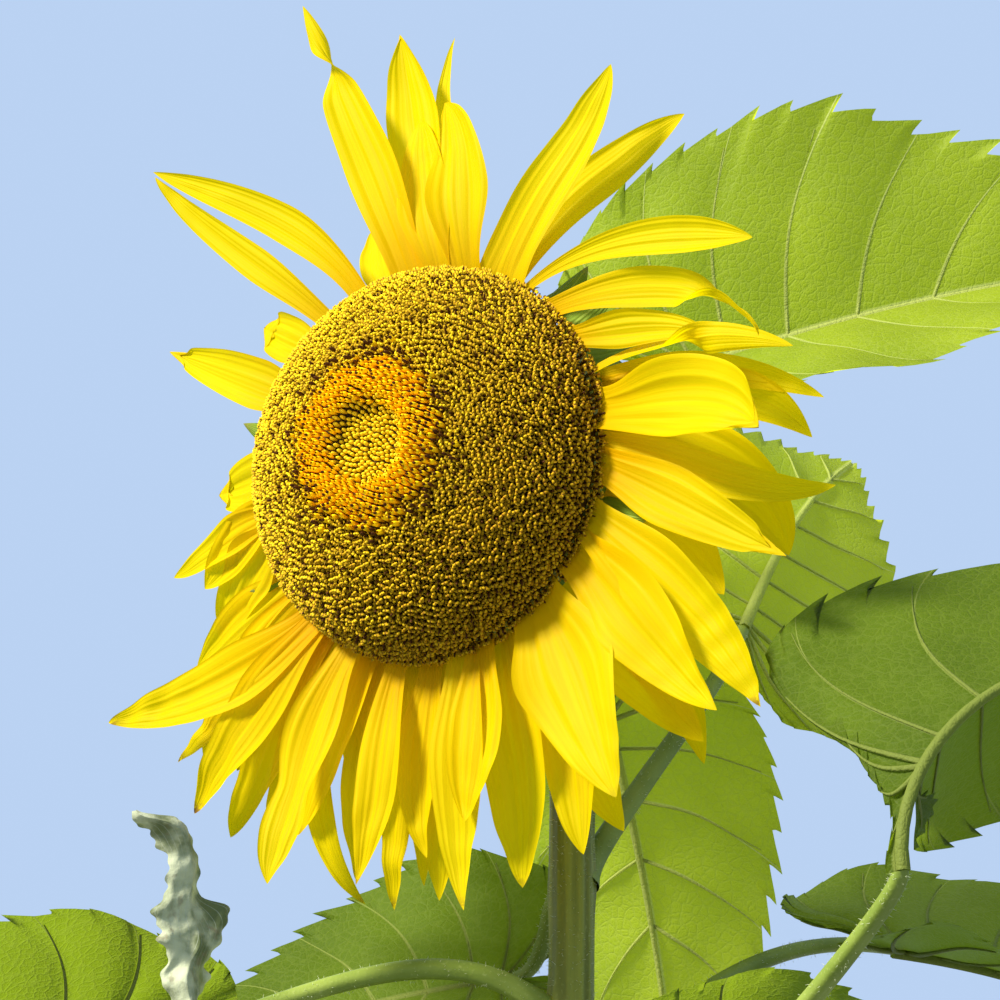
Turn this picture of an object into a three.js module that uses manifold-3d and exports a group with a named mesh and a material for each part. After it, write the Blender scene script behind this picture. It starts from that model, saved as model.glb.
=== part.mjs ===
import * as THREE from 'three';
import { mergeVertices } from 'three/addons/utils/BufferGeometryUtils.js';
import Module from 'manifold-3d';

// A rooted sunflower plant about two metres tall, in millimetres, +Z up.
// The origin is the middle of the stem's flat cut at ground level.
// The flower head faces -Y, turned towards -X, and nods slightly.

const wasm = await Module();
wasm.setup();

// Stem
const STEM_TOP = 1727;
const STEM_RADIUS_TOP = 8.7;
const STEM_TAPER = 7.5;
const FLARE_RADIUS = 8;
const FLARE_HEIGHT = 35;
const SWAY_X = -14;
const SWAY_Y = 8;
const STEM_SIDES = 12;
const STEM_LEVELS = [0, 30, 80, 180, 340, 520, 700, 880, 1060, 1240, 1420, 1580, STEM_TOP];

// Flower head: middle of the disc's rim, and the direction it faces
const HEAD = new THREE.Vector3(-57.6, -90, 1800);
const HEAD_TURN = 32.7;
const HEAD_NOD = 3.8;
const DISC_RADIUS = 80;
const DISC_HEIGHT = 49;
const DISC_SIDES = 22;
const RECEPTACLE_DEPTH = 42;
const NECK_RADIUS_END = 18;
const NECK_RISE = 45;
const NECK_REACH = 40;

// Ray florets and leaves
const RAY_FOOT = 77;
const RAY_THICKNESS = 1.2;
const LEAF_THICKNESS = 1.8;
const PETIOLE_RADIUS = 5.2;
const PETIOLE_SIDES = 6;

// Running gap between neighbours that touch on the plant
const GAP = 0.3;
const SLIVER = 0.05;

const RAD = Math.PI / 180;
const clamp01 = (v) => Math.min(1, Math.max(0, v));

function smooth(from, to, v) {
  const t = clamp01((v - from) / (to - from));
  return t * t * (3 - 2 * t);
}

function material(color, roughness = 0.6) {
  return new THREE.MeshStandardMaterial({ color, roughness, metalness: 0 });
}

const STEM_GREEN = material(0x6f8a2e);
const BRACT_GREEN = material(0x7f9a3a);
const LEAF_GREEN = material(0x7fa32a);
const WITHERED = material(0x8b9a7e);
const RAY_YELLOW = material(0xf2cc05, 0.5);
const DISC_GOLD = material(0xb8850c, 0.8);

// Negative when the faces point inwards
function enclosedVolume(positions, index) {
  const corner = (k) => new THREE.Vector3().fromArray(positions, 3 * index[k]);
  let volume = 0;
  for (let k = 0; k < index.length; k += 3) {
    volume += corner(k).dot(corner(k + 1).cross(corner(k + 2))) / 6;
  }
  return volume;
}

// Geometry with its faces turned outwards
function closed(points, index) {
  const positions = points.flatMap((p) => [p.x, p.y, p.z]);
  const geometry = new THREE.BufferGeometry();
  geometry.setAttribute('position', new THREE.Float32BufferAttribute(positions, 3));
  geometry.setIndex(enclosedVolume(positions, index) < 0 ? index.reverse() : index);
  return geometry;
}

// Closed mesh from rings of equal length; the ends are closed by strips
function loft(rings) {
  const n = rings[0].length;
  const index = [];
  for (let i = 0; i + 1 < rings.length; i += 1) {
    for (let j = 0; j < n; j += 1) {
      const a = i * n + j;
      const b = i * n + ((j + 1) % n);
      index.push(a, b, b + n, a, b + n, a + n);
    }
  }
  const last = (rings.length - 1) * n;
  for (let j = 1; j + 1 < n; j += 1) {
    index.push(0, j + 1, j);
    index.push(last, last + j, last + j + 1);
  }
  return closed(rings.flat(), index);
}

// Tube along a curve; radiusAt gives its radius at each part of the way, and flank is a
// direction that the curve never takes
function tube(path, steps, radiusAt, sides, flank) {
  const rings = [];
  for (let i = 0; i <= steps; i += 1) {
    const s = i / steps;
    const p = path.getPoint(s);
    const t = path.getTangent(s);
    const u = flank.clone().addScaledVector(t, -flank.dot(t)).normalize();
    const v = t.clone().cross(u);
    const ring = [];
    for (let k = 0; k < sides; k += 1) {
      const a = (2 * Math.PI * k) / sides;
      const out = u.clone().multiplyScalar(Math.cos(a)).addScaledVector(v, Math.sin(a));
      ring.push(p.clone().addScaledVector(out, radiusAt(s)));
    }
    rings.push(ring);
  }
  return loft(rings);
}

// Thin closed sheet from rows of points with a normal at each. Both faces are split along
// the same diagonals, so a curved sheet keeps its thickness, and its two halves mirror.
function sheet(rows, thickness) {
  const half = thickness / 2;
  const across = rows[0].length;
  const back = rows.flat().map(({ p, n }) => p.clone().addScaledVector(n, -half));
  const front = rows.flat().map(({ p, n }) => p.clone().addScaledVector(n, half));
  const over = back.length;
  const index = [];
  const wall = (from, to) => index.push(to, from, from + over, to, from + over, to + over);
  for (let i = 0; i + 1 < rows.length; i += 1) {
    for (let k = 0; k + 1 < across; k += 1) {
      const a = i * across + k;
      const c = a + across;
      const split = k < (across - 1) / 2
        ? [a, a + 1, c + 1, a, c + 1, c]
        : [a, a + 1, c, a + 1, c + 1, c];
      index.push(...split);
      index.push(...split.map((v) => v + over).reverse());
    }
    wall((i + 1) * across, i * across);
    wall((i + 1) * across - 1, (i + 2) * across - 1);
  }
  const last = (rows.length - 1) * across;
  for (let k = 0; k + 1 < across; k += 1) {
    wall(k, k + 1);
    wall(last + k + 1, last + k);
  }
  return closed([...back, ...front], index);
}

function solid(geometry) {
  const bare = geometry.clone();
  bare.deleteAttribute('normal');
  bare.deleteAttribute('uv');
  const merged = mergeVertices(bare, 1e-4);
  return new wasm.Manifold(new wasm.Mesh({
    numProp: 3,
    vertProperties: Float32Array.from(merged.attributes.position.array),
    triVerts: Uint32Array.from(merged.index.array),
  }));
}

// The main piece of a cut body, without the slivers a cut leaves
function largest(body) {
  const pieces = body.simplify(SLIVER).decompose();
  return pieces.reduce((a, b) => (a.volume() > b.volume() ? a : b));
}

function toGeometry(body) {
  const mesh = body.getMesh();
  const geometry = new THREE.BufferGeometry();
  geometry.setAttribute('position', new THREE.Float32BufferAttribute(mesh.vertProperties, 3));
  geometry.setIndex(new THREE.BufferAttribute(mesh.triVerts, 1));
  geometry.computeVertexNormals();
  return geometry;
}

function named(name, geometry, surface) {
  const mesh = new THREE.Mesh(geometry, surface);
  mesh.name = name;
  return mesh;
}

function bezier(p0, p1, p2, p3) {
  return new THREE.CubicBezierCurve3(p0, p1, p2, p3);
}

// Stem

function stemAxis(z) {
  const sway = Math.sin((Math.PI * z) / STEM_TOP) ** 2;
  return new THREE.Vector3(SWAY_X * sway, SWAY_Y * sway, z);
}

function stemRadius(z) {
  const taper = STEM_TAPER * (1 - z / STEM_TOP);
  return STEM_RADIUS_TOP + taper + FLARE_RADIUS * Math.exp(-z / FLARE_HEIGHT);
}

function stemLoft(grow) {
  return loft(STEM_LEVELS.map((z) => {
    const axis = stemAxis(z);
    const r = stemRadius(z) + grow;
    const ring = [];
    for (let k = 0; k < STEM_SIDES; k += 1) {
      const a = (2 * Math.PI * k) / STEM_SIDES;
      ring.push(new THREE.Vector3(axis.x + r * Math.cos(a), axis.y + r * Math.sin(a), z));
    }
    return ring;
  }));
}

// Flower head, in its own frame: x to the right seen from the front, y up, z forward

function headGroup() {
  const turn = HEAD_TURN * RAD;
  const nod = HEAD_NOD * RAD;
  const forward = new THREE.Vector3(
    -Math.sin(turn) * Math.cos(nod),
    -Math.cos(turn) * Math.cos(nod),
    -Math.sin(nod),
  );
  const up = new THREE.Vector3(0, 0, 1).addScaledVector(forward, -forward.z).normalize();
  const right = up.clone().cross(forward);
  const group = new THREE.Group();
  group.quaternion.setFromRotationMatrix(new THREE.Matrix4().makeBasis(right, up, forward));
  group.position.copy(HEAD);
  group.updateMatrixWorld(true);
  return group;
}

function discHeight(r) {
  return DISC_HEIGHT * (1 - clamp01(r / DISC_RADIUS) ** 2.2) ** (1 / 1.8);
}

// Domed disc of florets, proud of the rim plane, with a dimple at its middle
function discProfile(grow) {
  const profile = [new THREE.Vector2(0, -grow), new THREE.Vector2(DISC_RADIUS + grow, -grow)];
  for (const part of [0.985, 0.94, 0.84, 0.68, 0.48, 0.28]) {
    const r = DISC_RADIUS * part;
    profile.push(new THREE.Vector2(r + grow * part, discHeight(r) + grow));
  }
  profile.push(new THREE.Vector2(0, discHeight(0) - 2 + grow));
  return profile;
}

function receptacleProfile(grow) {
  const back = -RECEPTACLE_DEPTH;
  return [
    new THREE.Vector2(0, back - grow),
    new THREE.Vector2(20, back - grow),
    new THREE.Vector2(44 + grow, -34 - grow),
    new THREE.Vector2(68 + grow, -22 - grow),
    new THREE.Vector2(81 + grow, -9),
    new THREE.Vector2(80 + grow, -GAP + grow),
    new THREE.Vector2(0, -GAP + grow),
  ];
}

function lathe(profile) {
  const geometry = new THREE.LatheGeometry(profile, DISC_SIDES);
  return geometry.rotateX(Math.PI / 2);
}

// Neck from the stem's top round to the back of the receptacle
function neck(head) {
  const toWorld = (x, y, z) => new THREE.Vector3(x, y, z).applyMatrix4(head.matrixWorld);
  const flank = new THREE.Vector3().setFromMatrixColumn(head.matrixWorld, 0);
  const top = new THREE.Vector3(0, 0, STEM_TOP + GAP);
  const end = toWorld(0, 0, -RECEPTACLE_DEPTH - GAP);
  const path = bezier(
    top,
    top.clone().add(new THREE.Vector3(0, 0, NECK_RISE)),
    toWorld(0, 0, -RECEPTACLE_DEPTH - NECK_REACH),
    end,
  );
  const radiusAt = (s) => STEM_RADIUS_TOP + (NECK_RADIUS_END - STEM_RADIUS_TOP) * s ** 2.5;
  return named('neck', tube(path, 6, radiusAt, STEM_SIDES, flank), STEM_GREEN);
}

// Ray florets. Angles are clock degrees seen from the front, 0 up; lengths are from the
// head's middle. tip and reach place the tip, forward is its distance in front of the rim
// plane. bow bends the start to the radius, bend and droop turn the end, roll and twist
// turn the blade about its length, waist, full and point shape its width.
const RAY_DEFAULTS = {
  back: 0, bow: 0.45, lift: 12, bend: 0, droop: 0, roll: 0, twist: 0, twistFrom: 0.5, twistTo: 0.85,
  waist: 0.5, full: 0.45, point: 3.2, pinch: 0, pinchAt: 0.6, cup: 0.25,
};

const RAYS = [
  { foot: 355, tip: 345, reach: 218, forward: 0, width: 30, bow: 0.7, twist: 175, twistFrom: 0.66,
    twistTo: 0.92, point: 2.2, pinch: 0.35, pinchAt: 0.8 },
  { foot: 2, tip: 354, reach: 196, forward: -18, width: 31, back: 2, full: 0.7, point: 4 },
  { foot: 15, tip: 1, reach: 158, forward: -15, width: 29, lift: 25, droop: 20, bend: -30, point: 3 },
  { foot: 27, tip: 31, reach: 175, forward: -5, width: 23, bow: 0.6, bend: -12, waist: 1.05,
    point: 4.5 },
  { foot: 25, tip: 39, reach: 171, forward: -30, width: 24, back: 2, bow: 0.4, bend: 10, full: 0.7,
    point: 4 },
  { foot: 35, tip: 69, reach: 167, forward: 10, width: 20, bow: 0.4, bend: 15, waist: 0.2, full: 0.9,
    point: 5 },
  { foot: 46, tip: 82, reach: 153, forward: 0, width: 17, bow: 0.4, bend: 50, twist: 90,
    twistFrom: 0.55, twistTo: 0.75, point: 4 },
  { foot: 72, tip: 88, reach: 160, forward: -35, width: 15, back: 2, bend: 20 },
  { foot: 76, tip: 93, reach: 152, forward: -40, width: 24, back: 2, bend: 40, full: 0.7 },
  { foot: 83, tip: 97, reach: 163, forward: 25, width: 34, bow: 0.1, bend: 35, full: 0.6, point: 6,
    cup: 0.35 },
  { foot: 93, tip: 102, reach: 179, forward: -10, width: 18, bow: 0, bend: -20 },
  { foot: 99, tip: 112, reach: 170, forward: 0, width: 27, bow: 0.1, point: 2.6 },
  { foot: 115, tip: 130, reach: 184, forward: -5, width: 34, bow: 0.3, bend: 15, point: 2.5 },
  { foot: 125, tip: 133, reach: 175, forward: 5, width: 38, bow: 0.5, bend: -5, point: 2.4 },
  { foot: 144, tip: 150, reach: 170, forward: 10, width: 52, bow: 0.8, point: 2.1 },
  { foot: 146, tip: 162, reach: 170, forward: -20, width: 30, back: 2, bow: 0.6 },
  { foot: 161, tip: 172, reach: 173, forward: -20, width: 34, back: 1, bend: 10 },
  { foot: 171, tip: 178, reach: 180, forward: -5, width: 29, bend: -10, point: 2.4 },
  { foot: 194, tip: 194, reach: 170, forward: 0, width: 22, bend: 10, waist: 0.4 },
  { foot: 217, tip: 198, reach: 177, forward: -25, width: 16, back: 2, bow: 0.9, bend: -50 },
  { foot: 212, tip: 205, reach: 179, forward: 10, width: 25, bow: 0.7, bend: -10, pinch: 0.25,
    pinchAt: 0.62, point: 5 },
  { foot: 226, tip: 225, reach: 177, forward: -5, width: 26, point: 4 },
  { foot: 228, tip: 243, reach: 183, forward: 0, width: 28, bow: 0.9, bend: 12 },
  { foot: 266, tip: 262, reach: 145, forward: -20, width: 18, back: 1, bow: 0.8 },
  { foot: 301, tip: 299, reach: 160, forward: -12, width: 22, waist: 0.7, full: 0.25, point: 2.5 },
  { foot: 338, tip: 319, reach: 200, forward: 8, width: 17, bow: 0.95, bend: -10 },
];

function clockDirection(degrees) {
  return new THREE.Vector3(Math.sin(degrees * RAD), Math.cos(degrees * RAD), 0);
}

function rayPath(ray) {
  const foot = clockDirection(ray.foot);
  const start = foot.clone().multiplyScalar(RAY_FOOT).setZ(-3 - 4 * ray.back);
  const tip = clockDirection(ray.tip).multiplyScalar(ray.reach).setZ(ray.forward);
  const chord = tip.clone().sub(start);
  const length = chord.length();
  const along = chord.clone().normalize();
  const ahead = foot.multiplyScalar(ray.bow).addScaledVector(along, 1 - ray.bow);
  ahead.z += Math.tan(ray.lift * RAD);
  ahead.normalize();
  const side = along.clone().cross(new THREE.Vector3(0, 0, 1)).normalize();
  const end = along.clone().addScaledVector(side, Math.tan(ray.bend * RAD));
  end.z -= Math.tan(ray.droop * RAD);
  end.normalize();
  return bezier(
    start,
    start.clone().addScaledVector(ahead, length * 0.35),
    tip.clone().addScaledVector(end, -length * 0.35),
    tip,
  );
}

function rayWidth(ray, s) {
  const grow = ray.waist + (1 - ray.waist) * smooth(0, ray.full, s);
  const taper = clamp01(1 - s ** ray.point) ** 0.85;
  const pinch = 1 - ray.pinch * Math.exp(-(((s - ray.pinchAt) / 0.09) ** 2));
  return Math.max(0.06, grow * taper * pinch);
}

// Rows of points across the ray, with the blade's normal
function rayRows(ray, steps, grow) {
  const path = rayPath(ray);
  const rows = [];
  for (let i = 0; i <= steps; i += 1) {
    const s = i / steps;
    const p = path.getPoint(s);
    const t = path.getTangent(s);
    const flat = new THREE.Vector3(0, 0, 1).addScaledVector(t, -t.z).normalize();
    const side = t.clone().cross(flat);
    const turn = (ray.roll + ray.twist * smooth(ray.twistFrom, ray.twistTo, s)) * RAD;
    const across = side.clone().multiplyScalar(Math.cos(turn)).addScaledVector(flat, Math.sin(turn));
    const n = flat.clone().multiplyScalar(Math.cos(turn)).addScaledVector(side, -Math.sin(turn));
    const half = (ray.width / 2) * rayWidth(ray, s) + grow;
    rows.push([-1, 0, 1].map((u) => ({
      p: p.clone().addScaledVector(across, half * u).addScaledVector(n, ray.cup * half * (u * u - 0.33)),
      n,
    })));
  }
  return rows;
}

// Each ray is cut clear of the head and of the rays in front of it
function rays() {
  const headTool = solid(lathe(discProfile(GAP))).add(solid(lathe(receptacleProfile(GAP))));
  let taken = headTool;
  const meshes = [];
  const order = RAYS.map((ray, i) => ({ ...RAY_DEFAULTS, ...ray, number: i + 1 }));
  order.sort((a, b) => a.back - b.back || b.forward - a.forward);
  for (const ray of order) {
    const steps = ray.twist === 0 ? 7 : 12;
    const body = solid(sheet(rayRows(ray, steps, 0), RAY_THICKNESS));
    const tool = solid(sheet(rayRows(ray, steps, GAP), RAY_THICKNESS + 2 * GAP));
    const geometry = toGeometry(largest(body.subtract(taken)));
    meshes.push(named(`ray_${String(ray.number).padStart(2, '0')}`, geometry, RAY_YELLOW));
    taken = taken.add(tool);
  }
  return meshes.sort((a, b) => a.name.localeCompare(b.name));
}

// Leaves. Each stands in a frame on the stem: x outward at heading degrees from +X, z up.
// level is the height of its foot; out and up place the end of its stalk; rise is the
// stalk's slope at the stem and ease how far before its end it turns into the midrib.
// yaw, pitch and roll aim the blade; droop, by the power bow, and sweep bend it along its
// midrib; fold raises both halves. Side veins leave the midrib from branch on. The stalk
// ends short of the blade's base.
const LEAF_DEFAULTS = {
  rise: 45, ease: 0.3, yaw: 0, pitch: 10, droop: 40, bow: 1.2, sweep: 0, roll: 0, fold: 12,
  wave: 0.03, branch: 0, shape: 'heart', short: 2.2,
};

const UPPER_LEAVES = [
  { level: 1690, heading: 42, out: 66, up: 198, length: 242, width: 192, rise: 62, yaw: -42,
    pitch: 20, droop: 16, roll: 68, fold: 36, short: 3 },
  { level: 1650, heading: 40, out: 100, up: 125, length: 190, width: 185, rise: 55, yaw: 24,
    pitch: 50, droop: 22, roll: -131, fold: 8 },
  { level: 1490, heading: -62, out: 243, up: 117, length: 234, width: 187, rise: 25, ease: 0.04,
    yaw: 89, pitch: 102, droop: 134, bow: 0.65, sweep: -28, roll: -83, fold: 59, branch: 0.15,
    shape: 'wedge', short: 0.6 },
  { level: 1672, heading: 78, out: 82, up: 73, length: 215, width: 128, rise: 50, yaw: -8,
    pitch: -48, droop: 30 },
  { level: 1645, heading: 115, out: 56, up: -26, length: 175, width: 140, rise: 20, yaw: 52,
    pitch: -5, droop: 20, roll: -50 },
  { level: 1590, heading: 190, out: 186, up: -12, length: 230, width: 190, rise: 48, yaw: 12,
    pitch: -2, droop: 36, roll: 8 },
  { level: 1560, heading: 38, out: 183, up: 84, length: 230, width: 190, rise: 40, yaw: -20,
    pitch: -5, droop: 40, roll: 25 },
  { level: 1515, heading: -15, out: 70, up: 50, length: 220, width: 190, rise: 50, pitch: 0,
    droop: 50 },
];

const WITHERED_LEAF = {
  level: 1545, heading: 226, out: 200, up: 22, length: 88, width: 42, rise: 12, pitch: 92,
  droop: 30, roll: 60, fold: 25, short: 6,
};

// Leaves lower down the stem follow one another round it by the golden angle
const LOWER_COUNT = 6;
const LOWER_TOP = 1370;
const LOWER_STEP = 140;
const LOWER_HEADING = 260;
const GOLDEN_ANGLE = 137.5;

function lowerLeaves() {
  const leaves = [];
  for (let i = 0; i < LOWER_COUNT; i += 1) {
    leaves.push({
      level: LOWER_TOP - LOWER_STEP * i,
      heading: LOWER_HEADING + GOLDEN_ANGLE * i,
      out: 165 + 6 * i,
      up: 60 - 12 * i,
      length: 270 + (i % 3) * 12,
      width: 225 + (i % 2) * 14,
      rise: 42 - 3 * i,
      pitch: -2 - 5 * i,
      droop: 48,
      sweep: i % 2 === 0 ? 10 : -12,
      roll: i % 2 === 0 ? 8 : -9,
    });
  }
  return leaves;
}

// Half outlines of a blade: [along the midrib / length, out from it / width]
const OUTLINES = {
  heart: [[-0.12, 0.075], [-0.175, 0.21], [-0.075, 0.4], [0.2, 0.5], [0.52, 0.385], [0.8, 0.15], [1, 0.004]],
  wedge: [[0, 0.03], [0.1, 0.05], [0.21, 0.22], [0.31, 0.53], [0.59, 0.42], [0.8, 0.17], [1, 0.004]],
};

function outline(shape) {
  return new THREE.SplineCurve(OUTLINES[shape].map(([x, y]) => new THREE.Vector2(x, y)));
}

// Where on the midrib the side vein starts that meets the outline at t
function veinRoot(leaf, t) {
  const first = leaf.branch * smooth(0, 0.15, t);
  return first + 0.08 * t + (0.92 - leaf.branch) * Math.max(0, (t - 0.45) / 0.55) ** 1.25;
}

// Midrib frame at distance x along the blade; before its start the frame runs on straight
function midrib(leaf, x) {
  const steps = 40;
  const place = new THREE.Vector3(leaf.out, 0, leaf.up);
  const at = (f) => {
    const pitch = (leaf.pitch - leaf.droop * f ** leaf.bow) * RAD;
    const yaw = (leaf.yaw + leaf.sweep * f) * RAD;
    return { pitch, yaw };
  };
  const tangent = ({ pitch, yaw }) => new THREE.Vector3(
    Math.cos(pitch) * Math.cos(yaw),
    Math.cos(pitch) * Math.sin(yaw),
    Math.sin(pitch),
  );
  const reach = Math.max(0, Math.min(leaf.length, x));
  for (let k = 0; k < steps; k += 1) {
    const f = (reach / leaf.length) * ((k + 0.5) / steps);
    place.addScaledVector(tangent(at(f)), reach / steps);
  }
  const here = at(reach / leaf.length);
  const t = tangent(here);
  const up = new THREE.Vector3(
    -Math.sin(here.pitch) * Math.cos(here.yaw),
    -Math.sin(here.pitch) * Math.sin(here.yaw),
    Math.cos(here.pitch),
  );
  const left = up.clone().cross(t);
  const roll = leaf.roll * RAD;
  const across = left.clone().multiplyScalar(Math.cos(roll)).addScaledVector(up, Math.sin(roll));
  const n = up.clone().multiplyScalar(Math.cos(roll)).addScaledVector(left, -Math.sin(roll));
  place.addScaledVector(t, x - reach);
  return { p: place, t, across, n };
}

// Point of the blade: t along the outline, b from the midrib to the margin, side +1 or -1
function bladePoint(leaf, t, b, side) {
  const edge = outline(leaf.shape).getPoint(t);
  const root = veinRoot(leaf, t);
  const arch = 0.03 * Math.sin(Math.PI * b) * (1 - root) * smooth(0, 0.25, t);
  const x = (root * (1 - b) + edge.x * b - arch) * leaf.length;
  const y = edge.y * b * leaf.width;
  const frame = midrib(leaf, x);
  const phase = side > 0 ? 0.25 : 0.6;
  const ripple = leaf.wave * leaf.length * b * b * Math.sin(Math.PI * t);
  const lift = y * Math.sin(leaf.fold * RAD) + ripple * Math.sin(2 * Math.PI * (1.6 * t + phase));
  const out = side * y * Math.cos(leaf.fold * RAD);
  const p = frame.p.addScaledVector(frame.across, out).addScaledVector(frame.n, lift);
  return { p, n: frame.n };
}

function bladeRows(leaf) {
  const along = 10;
  const across = [1, 0.5, 0, -0.5, -1];
  const rows = [];
  for (let i = 0; i <= along; i += 1) {
    const t = i / along;
    rows.push(across.map((b) => bladePoint(leaf, t, Math.abs(b), b < 0 ? -1 : 1)));
  }
  return rows;
}

// Leaf stalk from inside the stem's skin to just short of the blade's base
function petioleTube(leaf) {
  const base = midrib(leaf, 0);
  const end = base.p.addScaledVector(base.t, -leaf.short);
  const start = new THREE.Vector3(stemRadius(leaf.level) * 0.5, 0, 0);
  const span = end.distanceTo(start);
  const rise = new THREE.Vector3(Math.cos(leaf.rise * RAD), 0, Math.sin(leaf.rise * RAD));
  const path = bezier(
    start,
    start.clone().addScaledVector(rise, span * 0.4),
    end.clone().addScaledVector(base.t, -span * leaf.ease),
    end,
  );
  const thick = PETIOLE_RADIUS * Math.sqrt(leaf.width / 190);
  const radiusAt = (s) => thick * (1 - 0.4 * s - 0.42 * smooth(0.8, 1, s));
  return solid(tube(path, 6, radiusAt, PETIOLE_SIDES, new THREE.Vector3(0, 1, 0)));
}

function leafGroup(name, leaf, surface) {
  const group = new THREE.Group();
  group.position.copy(stemAxis(leaf.level));
  group.rotation.z = leaf.heading * RAD;
  group.updateMatrixWorld(true);
  const skin = stemLoft(GAP).applyMatrix4(group.matrixWorld.clone().invert());
  const stalk = largest(petioleTube(leaf).subtract(solid(skin)));
  group.add(named(`petiole_${name}`, toGeometry(stalk), STEM_GREEN));
  group.add(named(`leaf_${name}`, sheet(bladeRows(leaf), LEAF_THICKNESS), surface));
  return group;
}

function leaves() {
  const all = [...UPPER_LEAVES, ...lowerLeaves()].map((leaf, i) => {
    const name = String(i + 1).padStart(2, '0');
    return leafGroup(name, { ...LEAF_DEFAULTS, ...leaf }, LEAF_GREEN);
  });
  all.push(leafGroup('withered', { ...LEAF_DEFAULTS, ...WITHERED_LEAF }, WITHERED));
  return all;
}

const plant = new THREE.Group();
const head = headGroup();
head.add(named('receptacle', lathe(receptacleProfile(0)), BRACT_GREEN));
head.add(named('disc', lathe(discProfile(0)), DISC_GOLD));
head.add(...rays());
plant.add(named('stem', stemLoft(0), STEM_GREEN), neck(head), head, ...leaves());

export default plant;
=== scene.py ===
import math

import bpy
import numpy as np
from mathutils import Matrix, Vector


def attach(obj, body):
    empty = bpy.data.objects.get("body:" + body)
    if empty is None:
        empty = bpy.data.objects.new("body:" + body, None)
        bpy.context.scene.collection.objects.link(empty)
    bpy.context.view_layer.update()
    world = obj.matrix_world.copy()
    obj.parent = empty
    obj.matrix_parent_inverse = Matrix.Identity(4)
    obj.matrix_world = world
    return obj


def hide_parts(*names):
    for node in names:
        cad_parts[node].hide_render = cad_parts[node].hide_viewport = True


# A rooted sunflower plant. Lengths are in millimetres until a mesh is made, then metres.

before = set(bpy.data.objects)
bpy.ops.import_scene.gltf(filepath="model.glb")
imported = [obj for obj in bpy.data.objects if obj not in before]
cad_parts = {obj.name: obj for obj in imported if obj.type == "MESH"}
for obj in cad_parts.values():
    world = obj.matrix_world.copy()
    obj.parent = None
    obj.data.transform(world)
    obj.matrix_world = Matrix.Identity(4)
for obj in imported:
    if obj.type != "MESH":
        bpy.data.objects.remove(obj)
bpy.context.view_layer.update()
RNG = np.random.default_rng(24)
MM = 0.001
Z_AXIS = np.array([0, 0, 1.0])

# Stem
STEM_TOP = 1727.0
STEM_RADIUS_TOP = 8.7
STEM_TAPER = 7.5
FLARE_RADIUS = 8.0
FLARE_HEIGHT = 35.0
SWAY_X = -14.0
SWAY_Y = 8.0

# Flower head
HEAD = np.array([-57.6, -90.0, 1800.0])
HEAD_TURN = math.radians(32.7)
HEAD_NOD = math.radians(3.8)
DISC_RADIUS = 80.0
DISC_HEIGHT = 49.0
RECEPTACLE_DEPTH = 42.0
NECK_RADIUS_END = 18.0
NECK_RISE = 45.0
NECK_REACH = 40.0
RAY_FOOT = 77.0

# Disc: radius of the outermost floret on the dome, and of the zones of closed buds and of young florets
DISC_EDGE = DISC_RADIUS * 0.995
BUD_ZONE = 18.5
RING_ZONE = 35.0
FLORET_PITCH = 3.0
# Area of a place in a hexagonal packing, in squares of its pitch
HEXAGON = 0.866
FLORET_TURN = math.radians(137.508)
FLORET_SINK = 4.4
# Clock degrees of the side of the disc with the oldest, brownest florets. This is the lower right, which
# faces away from the sun, so its darkening is painted shade as well as age
SHADED_OLD_SIDE = 132.0
# Rows of florets round the rim, which lean out over the foot of the rays
RIM_ROWS = 2
RIM_COUNT = 168
RIM_RADIUS = 76.4
# Radius at which the stigmas are parted into two pieces
STIGMA_SPLIT = 58.0

# Leaves: the sizes that the relief of a blade and the thickness of a stalk are stated for
PETIOLE_RADIUS = 5.2
TYPICAL_LENGTH = 230.0
TYPICAL_WIDTH = 190.0
GOLDEN_ANGLE = 137.5

# Each ray and each blade draws from a generator of its own, numbered from here; fillers count on from 60
RAY_SEED = 900
FILLER_SEED = 60
BLADE_SEED = 500
# First seeds of the noise in a ray's dents and crumpled tip and in a blade
DENT_SEED = 40
CRUMPLE_SEED = 240
ROUGH_SEED = 70


# Small tools

def smooth(low, high, value):
    t = np.clip((value - low) / (high - low), 0, 1)
    return t * t * (3 - 2 * t)


def bell(distance, width):
    return np.exp(-(distance / width)**2)


def unit(v):
    return v / np.maximum(np.linalg.norm(v, axis=-1, keepdims=True), 1e-9)


def ripple(points, size, seed, waves=5):
    """Smooth noise about -1 to 1 over 3-D points; size is its typical wavelength in mm."""
    rng = np.random.default_rng(seed)
    total = np.zeros(points.shape[:-1])
    for _ in range(waves):
        direction = unit(rng.normal(size=3)) * (2 * math.pi / size) * rng.uniform(0.6, 1.6)
        total += np.sin(points @ direction + rng.uniform(0, 2 * math.pi))
    return total / math.sqrt(waves) / 1.2


def bezier(p0, p1, p2, p3, s):
    s = np.asarray(s, float)[:, None]
    q = 1 - s
    point = q**3 * p0 + 3 * q * q * s * p1 + 3 * q * s * s * p2 + s**3 * p3
    tangent = unit(3 * q * q * (p1 - p0) + 6 * q * s * (p2 - p1) + 3 * s * s * (p3 - p2))
    return point, tangent


def grid_quads(rows, columns, wrap=False):
    i, j = np.meshgrid(np.arange(rows - 1), np.arange(columns if wrap else columns - 1), indexing="ij")
    a = i * columns + j
    b = i * columns + (j + 1) % columns
    return np.stack([a, b, b + columns, a + columns], -1).reshape(-1, 4)


def ring_angles(sides):
    return np.arange(sides) * 2 * math.pi / sides


def wrapped(angle):
    return np.angle(np.exp(1j * angle))


def rings(radius, height, a):
    """Rings of points round the head's axis; radius holds a row per ring."""
    height = np.repeat(height[:, None], len(a), 1)
    return np.stack([radius * np.sin(a), radius * np.cos(a), height], -1)


def tube(path, u, v, a, radius):
    """Rings of points round a path, in the plane of u and v; radius holds a row per ring."""
    ring = np.cos(a)[:, None] * u[:, None] + np.sin(a)[:, None] * v[:, None]
    return path[:, None] + ring * radius[..., None]


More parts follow.
